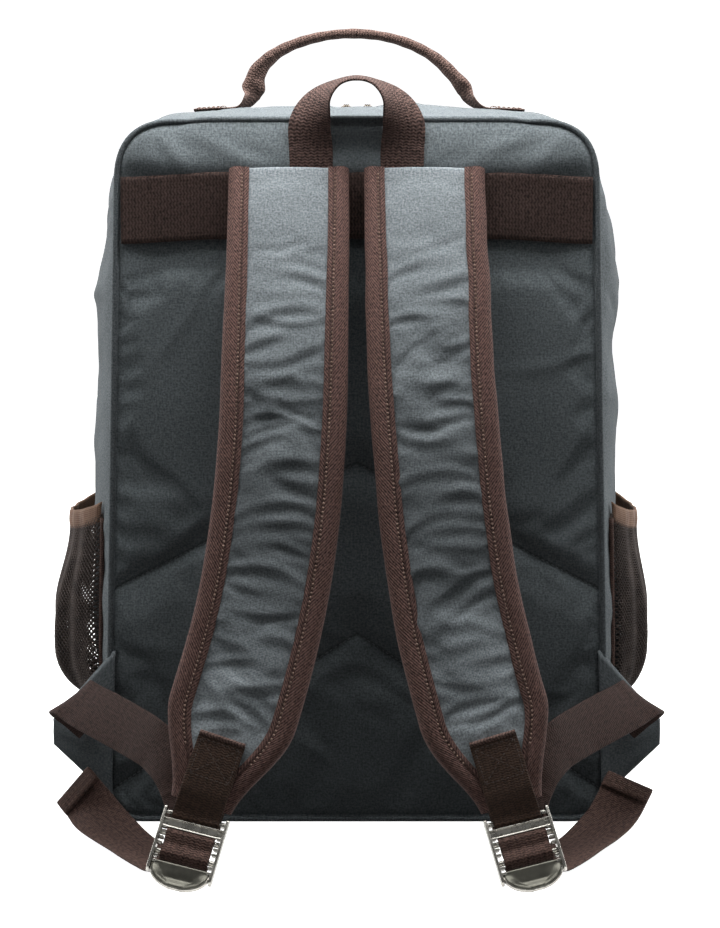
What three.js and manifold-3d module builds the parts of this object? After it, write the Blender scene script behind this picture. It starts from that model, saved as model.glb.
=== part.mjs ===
// A canvas travel backpack, in millimetres, +Z up. The shoulder straps are on the -Y side, and the
// origin is the middle of the base that the pack stands on.
import * as THREE from "three";
import { mergeVertices } from "three/addons/utils/BufferGeometryUtils.js";
import Module from "manifold-3d";

const wasm = await Module();
wasm.setup();

// Driving dimensions.
const SEAM_HEIGHT = 436; // back panel, base to top seam
const HALF_TOP = 147; // half width at the top seam
const HALF_BASE = 158; // half width at the base
const TOP_CORNER = 36;
const BASE_CORNER = 24;
const BACK_Y = -75; // outer face of the back panel
const FRONT_Y = 65; // outer face of the main front panel
const ZIP_Y = 32; // centre of the main zip
const LID_Z = 122; // the main zip ends and the lid folds at this height
const SIDE_SWELL = 17; // how far the sides stand out between their seams
const TOP_SWELL = 13;
const CORNER_PINCH = 0.7; // share of the swell that the seams take out round the top corners
const CANVAS = 2.4; // canvas with its lining laid against it
const WEBBING = 1.6;
const WEBBING_WIDTH = 30;
const GAP = 0.4; // clearance between neighbouring pieces
const STRAP_HALF = 36.5; // half width of a shoulder strap
const STRAP_THICK = 10;
const STRAP_LENGTH = 381; // along a strap's curve, from its top edge to its tip
const BINDING = 13.5; // width of the tape bound over the strap's edges

const COLOUR = {
  canvas: 0x5a6265, webbing: 0x43332f, tape: 0x5b4038, metal: 0x6f6d68, foam: 0xb9b7ae,
  lining: 0x7d6f5f, mesh: 0x33292a, board: 0x6d6c66, trim: 0x84604a,
};
const METAL_ROUGHNESS = 0.3;
const FABRIC_ROUGHNESS = 0.9;

const pack = new THREE.Group();
const vec = (x, y, z) => new THREE.Vector3(x, y, z);
const { clamp, lerp, smoothstep } = THREE.MathUtils;

function add(name, geometry, colour, metal = false) {
  const material = new THREE.MeshStandardMaterial({
    color: COLOUR[colour],
    roughness: metal ? METAL_ROUGHNESS : FABRIC_ROUGHNESS,
    metalness: metal ? 1 : 0,
  });
  const mesh = new THREE.Mesh(geometry, material);
  mesh.name = name;
  pack.add(mesh);
  return mesh;
}

// ---------------------------------------------------------------- solids

// An indexed geometry with its faces turned outwards.
function closedSolid(points, faces) {
  let volume = 0;
  const cross = new THREE.Vector3();
  for (const [a, b, c] of faces) volume += points[a].dot(cross.crossVectors(points[b], points[c]));
  const index = faces.flatMap(([a, b, c]) => (volume > 0 ? [a, b, c] : [a, c, b]));
  return new THREE.BufferGeometry().setFromPoints(points).setIndex(index);
}

// The solid between two surfaces, each a function of u and v from 0 to 1. A ring closes on itself in u.
function sheet(nu, nv, front, back, ring = false) {
  const rows = ring ? nu : nu + 1;
  const points = [];
  for (const surface of [front, back])
    for (let i = 0; i < rows; i++)
      for (let j = 0; j <= nv; j++) points.push(surface(i / nu, j / nv));
  const half = rows * (nv + 1);
  const at = (side, i, j) => side * half + (i % rows) * (nv + 1) + j;
  const faces = [];
  const quad = (a, b, c, d) => faces.push([a, b, c], [a, c, d]);
  for (let i = 0; i < nu; i++) {
    for (let j = 0; j < nv; j++) {
      quad(at(0, i, j), at(0, i + 1, j), at(0, i + 1, j + 1), at(0, i, j + 1));
      quad(at(1, i, j), at(1, i, j + 1), at(1, i + 1, j + 1), at(1, i + 1, j));
    }
    quad(at(0, i, 0), at(1, i, 0), at(1, i + 1, 0), at(0, i + 1, 0));
    quad(at(0, i, nv), at(0, i + 1, nv), at(1, i + 1, nv), at(1, i, nv));
  }
  if (!ring)
    for (let j = 0; j < nv; j++) {
      quad(at(0, 0, j), at(0, 0, j + 1), at(1, 0, j + 1), at(1, 0, j));
      quad(at(0, nu, j), at(1, nu, j), at(1, nu, j + 1), at(0, nu, j + 1));
    }
  return closedSolid(points, faces);
}

// A section, a list of [across, out] pairs, carried along frames of {t, centre, across, out}.
function loft(frames, sectionAt) {
  const points = [];
  const faces = [];
  const sides = sectionAt(0).length;
  for (const f of frames)
    for (const [a, o] of sectionAt(f.t))
      points.push(f.centre.clone().addScaledVector(f.across, a).addScaledVector(f.out, o));
  for (let i = 0; i < frames.length - 1; i++)
    for (let k = 0; k < sides; k++) {
      const a = i * sides + k;
      const b = i * sides + ((k + 1) % sides);
      faces.push([a, b, b + sides], [a, b + sides, a + sides]);
    }
  const flat = (t) => sectionAt(t).map(([a, o]) => new THREE.Vector2(a, o));
  const cap = (t) => THREE.ShapeUtils.triangulateShape(flat(t), []);
  const last = (frames.length - 1) * sides;
  for (const [a, b, c] of cap(frames[0].t)) faces.push([a, c, b]);
  for (const [a, b, c] of cap(frames.at(-1).t)) faces.push([last + a, last + b, last + c]);
  return closedSolid(points, faces);
}

// Frames along a smooth route. Each stop is [x, y, z, and the direction of the width there].
function framesAlong(stops, steps) {
  const route = new THREE.CatmullRomCurve3(stops.map(([x, y, z]) => vec(x, y, z)), false, "centripetal");
  const widths = new THREE.CatmullRomCurve3(stops.map((s) => vec(s[3], s[4], s[5])));
  return Array.from({ length: steps + 1 }, (_, i) => {
    const t = route.getUtoTmapping(i / steps);
    const along = route.getTangent(t);
    const across = widths.getPoint(t);
    across.addScaledVector(along, -across.dot(along)).normalize();
    return { t: i / steps, centre: route.getPoint(t), along, across, out: across.clone().cross(along) };
  });
}

// The same frame further along its route.
function shifted(frame, distance) {
  return { ...frame, centre: frame.centre.clone().addScaledVector(frame.along, distance) };
}

const band = (half, thick) => [[-half, -thick], [half, -thick], [half, thick], [-half, thick]];

// A strip of webbing along a route.
function ribbon(stops, steps, width = WEBBING_WIDTH, thick = WEBBING) {
  return loft(framesAlong(stops, steps), () => band(width / 2, thick / 2));
}

function box(x0, x1, y0, y1, z0, z1) {
  const g = new THREE.BoxGeometry(x1 - x0, y1 - y0, z1 - z0);
  return g.translate((x0 + x1) / 2, (y0 + y1) / 2, (z0 + z1) / 2);
}

// An outline of [x, z] points made into a plate from y0 to y1.
function plate(outlinePoints, y0, y1, holes = []) {
  const shape = new THREE.Shape(outlinePoints.map(([x, z]) => new THREE.Vector2(x, z)));
  shape.holes = holes.map((h) => new THREE.Path(h.map(([x, z]) => new THREE.Vector2(x, z))));
  const g = new THREE.ExtrudeGeometry(shape, { depth: y1 - y0, bevelEnabled: false });
  return g.rotateX(Math.PI / 2).translate(0, y1, 0);
}

function toManifold(geometry) {
  const bare = geometry.clone();
  bare.deleteAttribute("normal");
  bare.deleteAttribute("uv");
  const merged = mergeVertices(bare, 1e-3);
  return new wasm.Manifold(
    new wasm.Mesh({
      numProp: 3,
      vertProperties: new Float32Array(merged.attributes.position.array),
      triVerts: new Uint32Array(merged.index.array),
    }),
  );
}

function fromManifold(solid) {
  const mesh = solid.getMesh();
  const g = new THREE.BufferGeometry();
  g.setAttribute("position", new THREE.BufferAttribute(mesh.vertProperties, 3));
  return g.setIndex(new THREE.BufferAttribute(mesh.triVerts, 1));
}

// Joins solids and cuts others out of them.
function joined(solids, cuts = []) {
  let body = solids.map(toManifold).reduce((a, b) => a.add(b));
  for (const cut of cuts) body = body.subtract(toManifold(cut));
  return fromManifold(body);
}

// ---------------------------------------------------------------- the bag's shape

// The outline seen from the back, anticlockwise from the middle of the base.
function bagOutline() {
  const slope = vec(HALF_TOP - HALF_BASE, 0, SEAM_HEIGHT).normalize();
  const low = vec(HALF_BASE, 0, 0).addScaledVector(slope, BASE_CORNER);
  const high = vec(HALF_TOP, 0, SEAM_HEIGHT).addScaledVector(slope, -TOP_CORNER);
  return new THREE.Path()
    .moveTo(0, 0)
    .lineTo(HALF_BASE - BASE_CORNER, 0)
    .quadraticCurveTo(HALF_BASE, 0, low.x, low.z)
    .lineTo(high.x, high.z)
    .quadraticCurveTo(HALF_TOP, SEAM_HEIGHT, HALF_TOP - TOP_CORNER, SEAM_HEIGHT)
    .lineTo(TOP_CORNER - HALF_TOP, SEAM_HEIGHT)
    .quadraticCurveTo(-HALF_TOP, SEAM_HEIGHT, -high.x, high.z)
    .lineTo(-low.x, low.z)
    .quadraticCurveTo(-HALF_BASE, 0, BASE_CORNER - HALF_BASE, 0)
    .lineTo(0, 0);
}
const outline = bagOutline();

// A point on the outline at share u of the way round, with its outward direction.
function edge(u) {
  const step = 1e-4;
  const p = outline.getPoint((u + 1) % 1);
  const along = outline.getPoint((u + step + 1) % 1).sub(outline.getPoint((u - step + 1) % 1)).normalize();
  return { x: p.x, z: p.y, nx: along.y, nz: -along.x };
}

// Where the right-hand side passes a height. The left-hand side is at 1 less this.
function shareAt(height) {
  let low = 0;
  let high = 0.5;
  for (let i = 0; i < 40; i++) {
    const middle = (low + high) / 2;
    if (edge(middle).z < height) low = middle;
    else high = middle;
  }
  return low;
}

// A point of the bag's skin: the outline at depth y, swollen between the seams, inset inwards.
function skin(u, y, inset) {
  const e = edge(u);
  const between = Math.sin((Math.PI * clamp(y - BACK_Y, 0, FRONT_Y - BACK_Y)) / (FRONT_Y - BACK_Y));
  const rise = smoothstep(e.z, 10, 120) * (1 - CORNER_PINCH * 2 * Math.abs(e.nx * e.nz));
  const swell = (SIDE_SWELL * Math.abs(e.nx) + TOP_SWELL * Math.abs(e.nz)) * between * rise;
  return vec(e.x + e.nx * (swell - inset), y, e.z + e.nz * (swell - inset));
}

// A strip of the skin between two shares of the outline and two depths.
function skinStrip(u0, u1, y0, y1, nu, nv, inset = 0, thick = CANVAS, ring = false) {
  const at = (depth) => (u, v) => skin(lerp(u0, u1, u), lerp(y0, y1, v), depth);
  return sheet(nu, nv, at(inset), at(inset + thick), ring);
}

// The outline inset by a distance, or a stretch of it, as [x, z] points.
function insetOutline(inset, samples = 72, u0 = 0, u1 = 1) {
  const whole = u1 - u0 === 1;
  return Array.from({ length: whole ? samples : samples + 1 }, (_, i) => {
    const e = edge(lerp(u0, u1, (i + (whole ? 0.5 : 0)) / samples));
    return [e.x - e.nx * inset, e.z - e.nz * inset];
  });
}

function roundedBox(x0, x1, z0, z1, r, arc = 4) {
  const points = [];
  const corners = [[x1 - r, z0 + r, -90], [x1 - r, z1 - r, 0], [x0 + r, z1 - r, 90], [x0 + r, z0 + r, 180]];
  for (const [cx, cz, from] of corners)
    for (let i = 0; i <= arc; i++) {
      const a = THREE.MathUtils.degToRad(from + (90 * i) / arc);
      points.push([cx + r * Math.cos(a), cz + r * Math.sin(a)]);
    }
  return points;
}

function bag() {
  const sideLow = shareAt(26);
  const sideHigh = shareAt(404);
  const lidLow = shareAt(LID_Z + 2);
  const rootHigh = shareAt(LID_Z - 2);
  const skip = 0.0003; // the gap between neighbouring strips, as a share of the outline
  const rear = [BACK_Y + GAP, ZIP_Y - 4.5];

  add("back_panel", plate(insetOutline(CANVAS + 1), BACK_Y, BACK_Y + 6), "canvas");
  add("back_foam", plate(insetOutline(8, 40), BACK_Y + 6.4, BACK_Y + 14.4), "foam");
  add("side_panel_right", skinStrip(sideLow, sideHigh, ...rear, 10, 4), "canvas");
  add("side_panel_left", skinStrip(1 - sideHigh, 1 - sideLow, ...rear, 10, 4), "canvas");
  add("top_panel", skinStrip(sideHigh + skip, 1 - sideHigh - skip, ...rear, 30, 3), "canvas");
  add("base_panel", skinStrip(skip - sideLow, sideLow - skip, ...rear, 36, 1), "canvas");
  const lower = [ZIP_Y - 4.1, FRONT_Y - GAP];
  add("front_gusset_lower", skinStrip(-rootHigh, rootHigh, ...lower, 48, 1), "canvas");
  const lowerFront = insetOutline(CANVAS + 1, 40, -rootHigh, rootHigh);
  add("front_panel_lower", plate(lowerFront, FRONT_Y - 2.8, FRONT_Y), "canvas");
  add("lining", skinStrip(0, 1, BACK_Y + 15, ZIP_Y - 5, 72, 1, 4, 1, true), "lining");
  add("base_board", box(-126, 126, BACK_Y + 17, FRONT_Y - 7, 5.8, 8.8), "board");
  add("laptop_sleeve", plate(roundedBox(-138, 138, 10, 300, 12), BACK_Y + 23, BACK_Y + 29), "lining");
  add("sleeve_binding", box(-134, 134, BACK_Y + 22.4, BACK_Y + 29.6, 300.4, 308), "tape");

  const zip = [lidLow, 1 - lidLow];
  add("zip_tape_rear", skinStrip(...zip, ZIP_Y - 4.1, ZIP_Y - 0.2, 34, 1, 0.3, 1.4), "tape");
  add("zip_tape_lid", skinStrip(...zip, ZIP_Y + 0.2, ZIP_Y + 4.1, 34, 1, 0.3, 1.4), "tape");
  add("lid_gusset", skinStrip(...zip, ZIP_Y + 4.5, FRONT_Y - GAP, 56, 1), "canvas");
  const lidFront = insetOutline(CANVAS + 1, 56, lidLow, 1 - lidLow);
  add("front_panel", plate(lidFront, FRONT_Y - 2.8, FRONT_Y), "canvas");
}

// Piping round a seam: a square-cornered cord laid along the outline just outside the seam.
function piping(name, u0, u1, y, steps) {
  const r = 1.5;
  const frames = Array.from({ length: steps + 1 }, (_, i) => {
    const e = edge(lerp(u0, u1, i / steps));
    return {
      centre: vec(e.x - e.nx * r, y, e.z - e.nz * r),
      across: vec(e.nx, 0, e.nz),
      out: vec(0, 1, 0),
    };
  });
  add(name, loft(frames, () => [[-r, 0], [0, -r], [r, 0], [0, r]]), "canvas");
}

// ---------------------------------------------------------------- front pocket

const POCKET = { half: 116, low: 138, high: 396, corner: 30, zip: 350 };

// A flat pocket sewn on the front, in two pieces with its zip between them.
function frontPocket() {
  const { half, low, high, corner, zip } = POCKET;
  const y = FRONT_Y + GAP;
  const ring = roundedBox(-half, half, low, high, corner);
  const lower = ring.filter(([, z]) => z < zip);
  const upper = ring.filter(([, z]) => z > zip);
  const lowerEdge = [[half, zip - 4], [-half, zip - 4]];
  const upperEdge = [[-half, zip + 4], [half, zip + 4]];
  const split = lower.findIndex(([x]) => x < 0);
  const turned = [...lower.slice(0, split), ...lowerEdge, ...lower.slice(split)];
  add("pocket_face_lower", plate(turned, y, y + CANVAS), "canvas");
  add("pocket_face_upper", plate([...upper, ...upperEdge], y, y + CANVAS), "canvas");
  add("pocket_zip_tape", box(-half, half, y + 0.3, y + 1.9, zip - 3.6, zip + 3.6), "tape");
}

// ---------------------------------------------------------------- zip sliders and their pulls

const SLIDER = { length: 11, width: 9, base: 3, rodHeight: 5.8, rod: 0.8, post: 1.3, posts: 3.9 };
const PULL = { eye: 2.3, hole: 1.25, neck: 4.6, length: 24, thick: 1.6, blade: 7 };

// A slider in its own frame: it travels along x under a bridge along x, and z points off the fabric.
function sliderSolid() {
  const { length, width, base, rodHeight, rod, post, posts } = SLIDER;
  const parts = [box(-length / 2, length / 2, -width / 2, width / 2, 0, base)];
  for (const side of [-1, 1]) {
    const x = side * posts;
    parts.push(box(x - post / 2, x + post / 2, -1.6, 1.6, base - 0.5, rodHeight + 1.4));
  }
  const bridge = new THREE.CylinderGeometry(rod, rod, 2 * posts, 8).rotateZ(Math.PI / 2);
  parts.push(bridge.translate(0, 0, rodHeight));
  return joined(parts);
}

// A pull in the slider's frame, its eye round the bridge and its blade along +y.
function pullSolid() {
  const { eye, hole, neck, length, thick, blade } = PULL;
  const z = SLIDER.rodHeight;
  const roller = (r, width) => new THREE.CylinderGeometry(r, r, width, 12).rotateZ(Math.PI / 2);
  const across = (r, width) => roller(r, width).translate(0, 0, z);
  const stem = box(-neck / 2, neck / 2, 1.6, 5, z - thick / 2, z + thick / 2);
  const grip = box(-blade / 2, blade / 2, 4, length, z - thick / 2, z + thick / 2);
  return joined([across(eye, neck), stem, grip], [across(hole, neck + 2)]);
}

function zipPullers() {
  const top = skin(0.5, ZIP_Y, 0).z + 1.5;
  const face = FRONT_Y + GAP + CANVAS + 0.4;
  const places = [
    ["right", 7, ZIP_Y, top, 0],
    ["left", -7, ZIP_Y, top, 0],
    ["pocket", -96, face, POCKET.zip, -Math.PI / 2],
  ];
  for (const [name, x, y, z, turn] of places)
    for (const [kind, solid] of [["slider", sliderSolid()], ["pull", pullSolid()]]) {
      const mesh = add(`${kind}_${name}`, solid, "metal", true);
      mesh.rotation.x = turn;
      mesh.position.set(x, y, z);
    }
}

// ---------------------------------------------------------------- handle, hang loop, luggage band

const HANDLE_Y = -5;

function topShareAt(x) {
  let low = 0.35;
  let high = 0.65;
  for (let i = 0; i < 40; i++) {
    const middle = (low + high) / 2;
    if (edge(middle).x > x) low = middle;
    else high = middle;
  }
  return low;
}

function handle() {
  // The grip is webbing folded in half, and its feet narrow to fold over where they are sewn down.
  const stops = [
    [-69, 456], [-71, 462], [-67, 472], [-54, 483], [-29, 492], [0, 495],
    [29, 491], [51, 481], [65, 469], [73, 461], [75, 456],
  ].map(([x, z]) => [x, HANDLE_Y, z, 0, 1, 0]);
  const frames = framesAlong(stops, 26);
  const section = (t) => {
    const foot = Math.max(smoothstep(t, 0.93, 1), 1 - smoothstep(t, 0, 0.07));
    const a = lerp(7, 3.4, foot);
    const o = 3.6;
    return [[-a, 0], [-a * 0.7, -o], [a * 0.7, -o], [a, 0], [a * 0.7, o], [-a * 0.7, o]];
  };
  add("grab_handle", loft(frames, section), "webbing");
  for (const [name, x0, x1] of [["left", -104, -64], ["right", 70, 107]]) {
    const at = (inset) => (u, v) =>
      skin(topShareAt(lerp(x0, x1, u)), lerp(HANDLE_Y - 14, HANDLE_Y + 14, v), inset);
    add(`handle_tab_${name}`, sheet(4, 2, at(-GAP), at(-GAP - 2.6)), "webbing");
  }
}

// Distances off the back panel: the band, then the loop's legs, then the straps lie on each other.
const off = (distance) => BACK_Y - distance;

function hangLoop() {
  const y = off(8);
  const half = [
    [-27.5, y, 405.6, 1, 0, 0], [-27.5, y, 418, 1, 0, 0], [-26.5, off(12), 433, 0.95, -0.3, 0],
    [-18, off(12.5), 450, 0.6, -0.8, 0], [0, off(13), 460, 0, -1, 0],
  ];
  const mirrored = half.slice(0, -1).reverse().map(([x, yy, z, wx, wy, wz]) => [-x, yy, z, -wx, wy, wz]);
  add("hang_loop", ribbon([...half, ...mirrored], 24, 26.5, 1.5), "webbing");
}

function luggageBand() {
  const half = HALF_TOP - 3.6;
  const at = (thick) => (u, v) => {
    const x = lerp(-half, half, u);
    const share = Math.cos((Math.PI * x) / (2 * half));
    const stand = 0.5 + 4.6 * smoothstep(share, 0, 0.35);
    return vec(x, off(stand + thick), lerp(361, 401, v) + 3 * smoothstep(share, 0, 0.7));
  };
  add("luggage_band", sheet(16, 1, at(0), at(1.4)), "webbing");
}

// ---------------------------------------------------------------- side pockets and wings

const SIDE_POCKET = { yBack: -62, yFront: 16, low: 72, high: 190, stand: 30 };

function sidePocket(side, name) {
  const { yBack, yFront, low, high, stand } = SIDE_POCKET;
  const base = (y, z) => skin(shareAt(z), y, 0).x;
  // How far the mesh stands off the side: most a third of the way up, none at its sewn edges.
  const reach = (v, w) => {
    const across = Math.sin(Math.PI * v) ** 0.55;
    const up = lerp(Math.sin(Math.PI * clamp(w * 0.62 + 0.04, 0, 1)) ** 0.7, 0.62, smoothstep(w, 0.72, 1));
    return 1 + stand * across * up;
  };
  const wall = (extra) => (u, v) => {
    const y = lerp(yBack, yFront, u);
    const z = lerp(low, high, v);
    return vec(side * (base(y, z) + reach(u, v) + extra), y, z);
  };
  add(`pocket_mesh_${name}`, sheet(10, 7, wall(0), wall(1.3)), "mesh");
  const rim = (extra) => (u, v) => {
    const y = lerp(yBack, yFront, u);
    const z = lerp(high + GAP, high + 10, v);
    return vec(side * (base(y, high) + reach(u, 1) + extra), y, z);
  };
  add(`pocket_band_${name}`, sheet(10, 1, rim(-0.3), rim(2.1)), "trim");
}

// A three-cornered gusset from the back seam out to the webbing.
function wing(side, name) {
  const corners = { seamHigh: [156.6, off(1), 108], seamLow: [160, off(1), 16], tip: [188, off(-4), 56] };
  const at = (back) => (u, v) => {
    const seam = vec(...corners.seamLow).lerp(vec(...corners.seamHigh), u);
    const end = vec(...corners.tip).add(vec(0, 0, lerp(-6, 6, u)));
    const p = seam.lerp(end, v);
    return vec(side * (p.x + 2.4), p.y - 1.4 + back, p.z);
  };
  add(`wing_${name}`, sheet(3, 3, at(0), at(2.2)), "canvas");
}

// ---------------------------------------------------------------- shoulder straps

// The right-hand strap's front face, as x, distance off the back panel, and z.
const STRAP_ROUTE = [
  [41, 17, 404], [41, 28, 380], [41.8, 45, 340], [42.5, 60, 300], [44.8, 75.5, 250],
  [49, 88, 200], [56.8, 101, 150], [69.8, 116, 100], [82, 127.4, 62], [87, 131, 46.5],
];

function strapFrames(side, steps) {
  return framesAlong(STRAP_ROUTE.map(([x, d, z]) => [side * x, off(d), z, -1, 0, 0]), steps);
}

// Half the strap's width, full until it draws in to the buckle.
const strapHalf = (t) => lerp(STRAP_HALF, 23, smoothstep(t, 0.86, 1.03));
// Its share of the full thickness, less where it is sewn at the top and drawn in at the end.
const strapThin = (t) => lerp(0.6, 1, smoothstep(t, 0, 0.1)) * lerp(1, 0.55, smoothstep(t, 0.85, 1));

function strap(side, name) {
  const frames = strapFrames(side, 20);
  // A slab along the strap, narrower than it, between two distances out from its front face.
  const slab = (route, narrow, low, high) =>
    loft(route, (t) => {
      const half = strapHalf(t) - narrow;
      const k = strapThin(t);
      return [[-half, low * k], [half, low * k], [half, high * k], [-half, high * k]];
    });
  add(`strap_face_${name}`, slab(frames, 2.2, -1.1, 0), "canvas");
  add(`strap_foam_${name}`, slab(frames, 2.2, 1.9 - STRAP_THICK, -1.9), "foam");
  add(`strap_backing_${name}`, slab(frames, 2.2, -STRAP_THICK, 1.1 - STRAP_THICK), "lining");
  const end = frames.at(-1);
  const shell = slab([...frames, shifted(end, 2.2)], 0, -STRAP_THICK - 1.8, 1.8);
  const core = slab([shifted(frames[0], -2), ...frames, shifted(end, 0.5)], 1.7, -STRAP_THICK - 0.5, 0.5);
  const open = [shifted(frames[0], -2), ...frames.slice(0, -1), shifted(frames.at(-2), 8)];
  const window = slab(open, BINDING, -STRAP_THICK - 9, 9);
  add(`strap_binding_${name}`, joined([shell], [core, window]), "tape");
}

// The buckle's own frame: x along its bars, y down its length and z out from its face.
const BUCKLE = {
  drop: 10.2, behind: 1.6, down: [0.25, 0.52, -0.82], half: 19.5, rail: 2,
  bars: [12, 23], bar: 1.6, tabStart: 31, tabEnd: 42,
};

function buckleFrame(side) {
  const end = strapFrames(side, 20).at(-1);
  const centre = shifted(end, BUCKLE.drop).centre.addScaledVector(end.out, -BUCKLE.behind);
  const down = vec(side * BUCKLE.down[0], -BUCKLE.down[1], BUCKLE.down[2]).normalize();
  const across = vec(-1, 0, 0).addScaledVector(down, down.x).normalize();
  return { centre, across, down, out: across.clone().cross(down) };
}

// A point in the buckle's plane square to its bars, as [x, y, z].
function inBuckle(side, down, out) {
  const f = buckleFrame(side);
  return f.centre.clone().addScaledVector(f.down, down).addScaledVector(f.out, out).toArray();
}

function placeInBuckle(geometry, side) {
  const f = buckleFrame(side);
  const m = new THREE.Matrix4().makeBasis(f.across, f.down, f.out).setPosition(f.centre);
  return geometry.applyMatrix4(m);
}

const rod = (y, r, length) =>
  new THREE.CylinderGeometry(r, r, length, 10).rotateZ(Math.PI / 2).translate(0, y, 0);

function buckle(side, name) {
  const { half, rail, bars, bar, tabStart, tabEnd } = BUCKLE;
  const rails = [-1, 1].map((s) =>
    box(s * half - rail / 2, s * half + rail / 2, -3, tabStart + 4, -1.8, 4.2),
  );
  const top = box(-half, half, -1.8, 1.8, -0.9, 0.9);
  const lock = box(-half, half, 4.4, 8.4, 1.3, 3.3);
  const thumb = [];
  for (let i = 0; i <= 12; i++) {
    const a = (Math.PI * i) / 12;
    thumb.push([(half - 0.5) * Math.cos(a), tabStart + 3 + (tabEnd - tabStart - 3) * Math.sin(a)]);
  }
  thumb.push([0.5 - half, tabStart], [half - 0.5, tabStart]);
  const tab = new THREE.ExtrudeGeometry(new THREE.Shape(thumb.map(([a, b]) => new THREE.Vector2(a, b))), {
    depth: 1.6, bevelEnabled: false,
  });
  const frame = joined([...rails, top, lock, tab, ...bars.map((y) => rod(y, bar, 2 * half))]);
  add(`buckle_${name}`, placeInBuckle(frame, side), "metal", true);
}

// Webbing in a plane square to the buckle's bars: each stop is [down, out] in the buckle's frame.
function buckleRibbon(side, stops, steps) {
  const flat = framesAlong(stops.map(([down, out]) => [0, down, out, 1, 0, 0]), steps);
  return placeInBuckle(loft(flat, () => band(WEBBING_WIDTH / 2, WEBBING / 2)), side);
}

function webbingInBuckle(side, name) {
  const reach = BUCKLE.bar + 0.4 + WEBBING / 2;
  const [first, second] = BUCKLE.bars;
  const stops = [
    [first - 5.6, -3.6], [first - 3.6, -0.6], [first - 1.6, reach - 0.7], [first, reach],
    [first + 2.4, reach - 0.6], [(first + second) / 2, reach - 1.5], [second - 2.4, reach - 0.6],
    [second, reach], [second + 1.9, reach - 0.9], [second + 3.6, -0.8], [second + 4.2, -3.8],
  ];
  add(`buckle_webbing_${name}`, buckleRibbon(side, stops, 18), "webbing");
}

// The fixed webbing that holds the buckle's top bar: down the strap's face and up its back.
function strapTab(side, name) {
  const end = strapFrames(side, 20).at(-1);
  const route = strapFrames(side, 80);
  const onStrap = (fromEnd, out) => {
    const f = fromEnd > 0 ? route[80 - Math.round((fromEnd / STRAP_LENGTH) * 80)] : end;
    return [...f.centre.clone().addScaledVector(f.out, out).toArray(), ...f.across.toArray()];
  };
  const bars = buckleFrame(side).across.toArray();
  const front = [44, 34, 24, 14, 5].map((distance) => onStrap(distance, 4.1));
  const round = [[-1.2, 3], [2.1, 2.4], [3.2, 0], [2.1, -2.4], [-1.2, -3.3]];
  const back = [onStrap(0, -9.6), onStrap(9, -11.4)];
  const wrap = round.map(([down, out]) => [...inBuckle(side, down, out), ...bars]);
  add(`strap_tab_${name}`, ribbon([...front, ...wrap, ...back], 34), "webbing");
}

// From the wing out to its fold, forwards and round behind the strap, then down to the buckle.
function loadWebbing(side, name) {
  const stops = [
    [167, 6, 60, -0.8, 0, 0.6], [173, 9, 70, -0.8, 0, 0.6], [177, 15, 79, -0.8, 0, 0.6],
    [174, 24, 83, -0.8, 0, 0.6], [165, 36, 81, -0.75, 0, 0.66], [136, 68, 74, -0.55, -0.1, 0.82],
    [119, 88, 69, -0.55, -0.2, 0.8], [107, 100, 61, -0.8, -0.2, 0.5], [99, 106, 50, -0.96, 0, 0.2],
    [95, 112, 41, -1, 0, 0],
  ].map(([x, d, z, wx, wy, wz]) => [side * x, off(d), z, side * wx, wy, wz]);
  stops.push([...inBuckle(side, BUCKLE.bars[0] - 6.2, -6.6), -side, 0, 0]);
  add(`load_webbing_${name}`, ribbon(stops, 34), "webbing");
}

// The free end: out behind the buckle's tab, along the ground and up to its hem.
function tailWebbing(side, name) {
  const stops = [
    [104, 120, 3.2], [114, 104, 2.4], [128, 80, 3], [143, 54, 6], [155, 32, 13], [164, 12, 25],
  ].map(([x, d, z]) => [side * x, off(d), z, -1, 0, 0]);
  const first = [...inBuckle(side, BUCKLE.bars[1] + 5, -6.6), -1, 0, 0];
  const frames = framesAlong([first, ...stops], 22);
  const hem = [-6, -2, 2].map((step) => shifted(frames.at(-1), step));
  const strip = loft(frames, () => band(WEBBING_WIDTH / 2, WEBBING / 2));
  const fold = loft(hem, () => band(WEBBING_WIDTH / 2 + 0.1, 2.2));
  add(`tail_webbing_${name}`, joined([strip, fold]), "webbing");
}

function shoulderStrap(side, name) {
  strap(side, name);
  strapTab(side, name);
  buckle(side, name);
  webbingInBuckle(side, name);
  loadWebbing(side, name);
  tailWebbing(side, name);
}

// ---------------------------------------------------------------- assembly

bag();
piping("back_piping", 0.001, 0.999, BACK_Y - 1.9, 56);
const lidSeam = shareAt(LID_Z + 4);
piping("front_piping", lidSeam, 1 - lidSeam, FRONT_Y + 1.9, 40);
frontPocket();
zipPullers();
handle();
hangLoop();
luggageBand();
for (const [side, name] of [[-1, "left"], [1, "right"]]) {
  sidePocket(side, name);
  wing(side, name);
  shoulderStrap(side, name);
}

export default pack;
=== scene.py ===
"""Visual model of a canvas travel backpack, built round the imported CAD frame.

Shapes are worked out in millimetres, +Z up with the straps on the -Y side, and made in metres.
"""
import math

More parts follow.
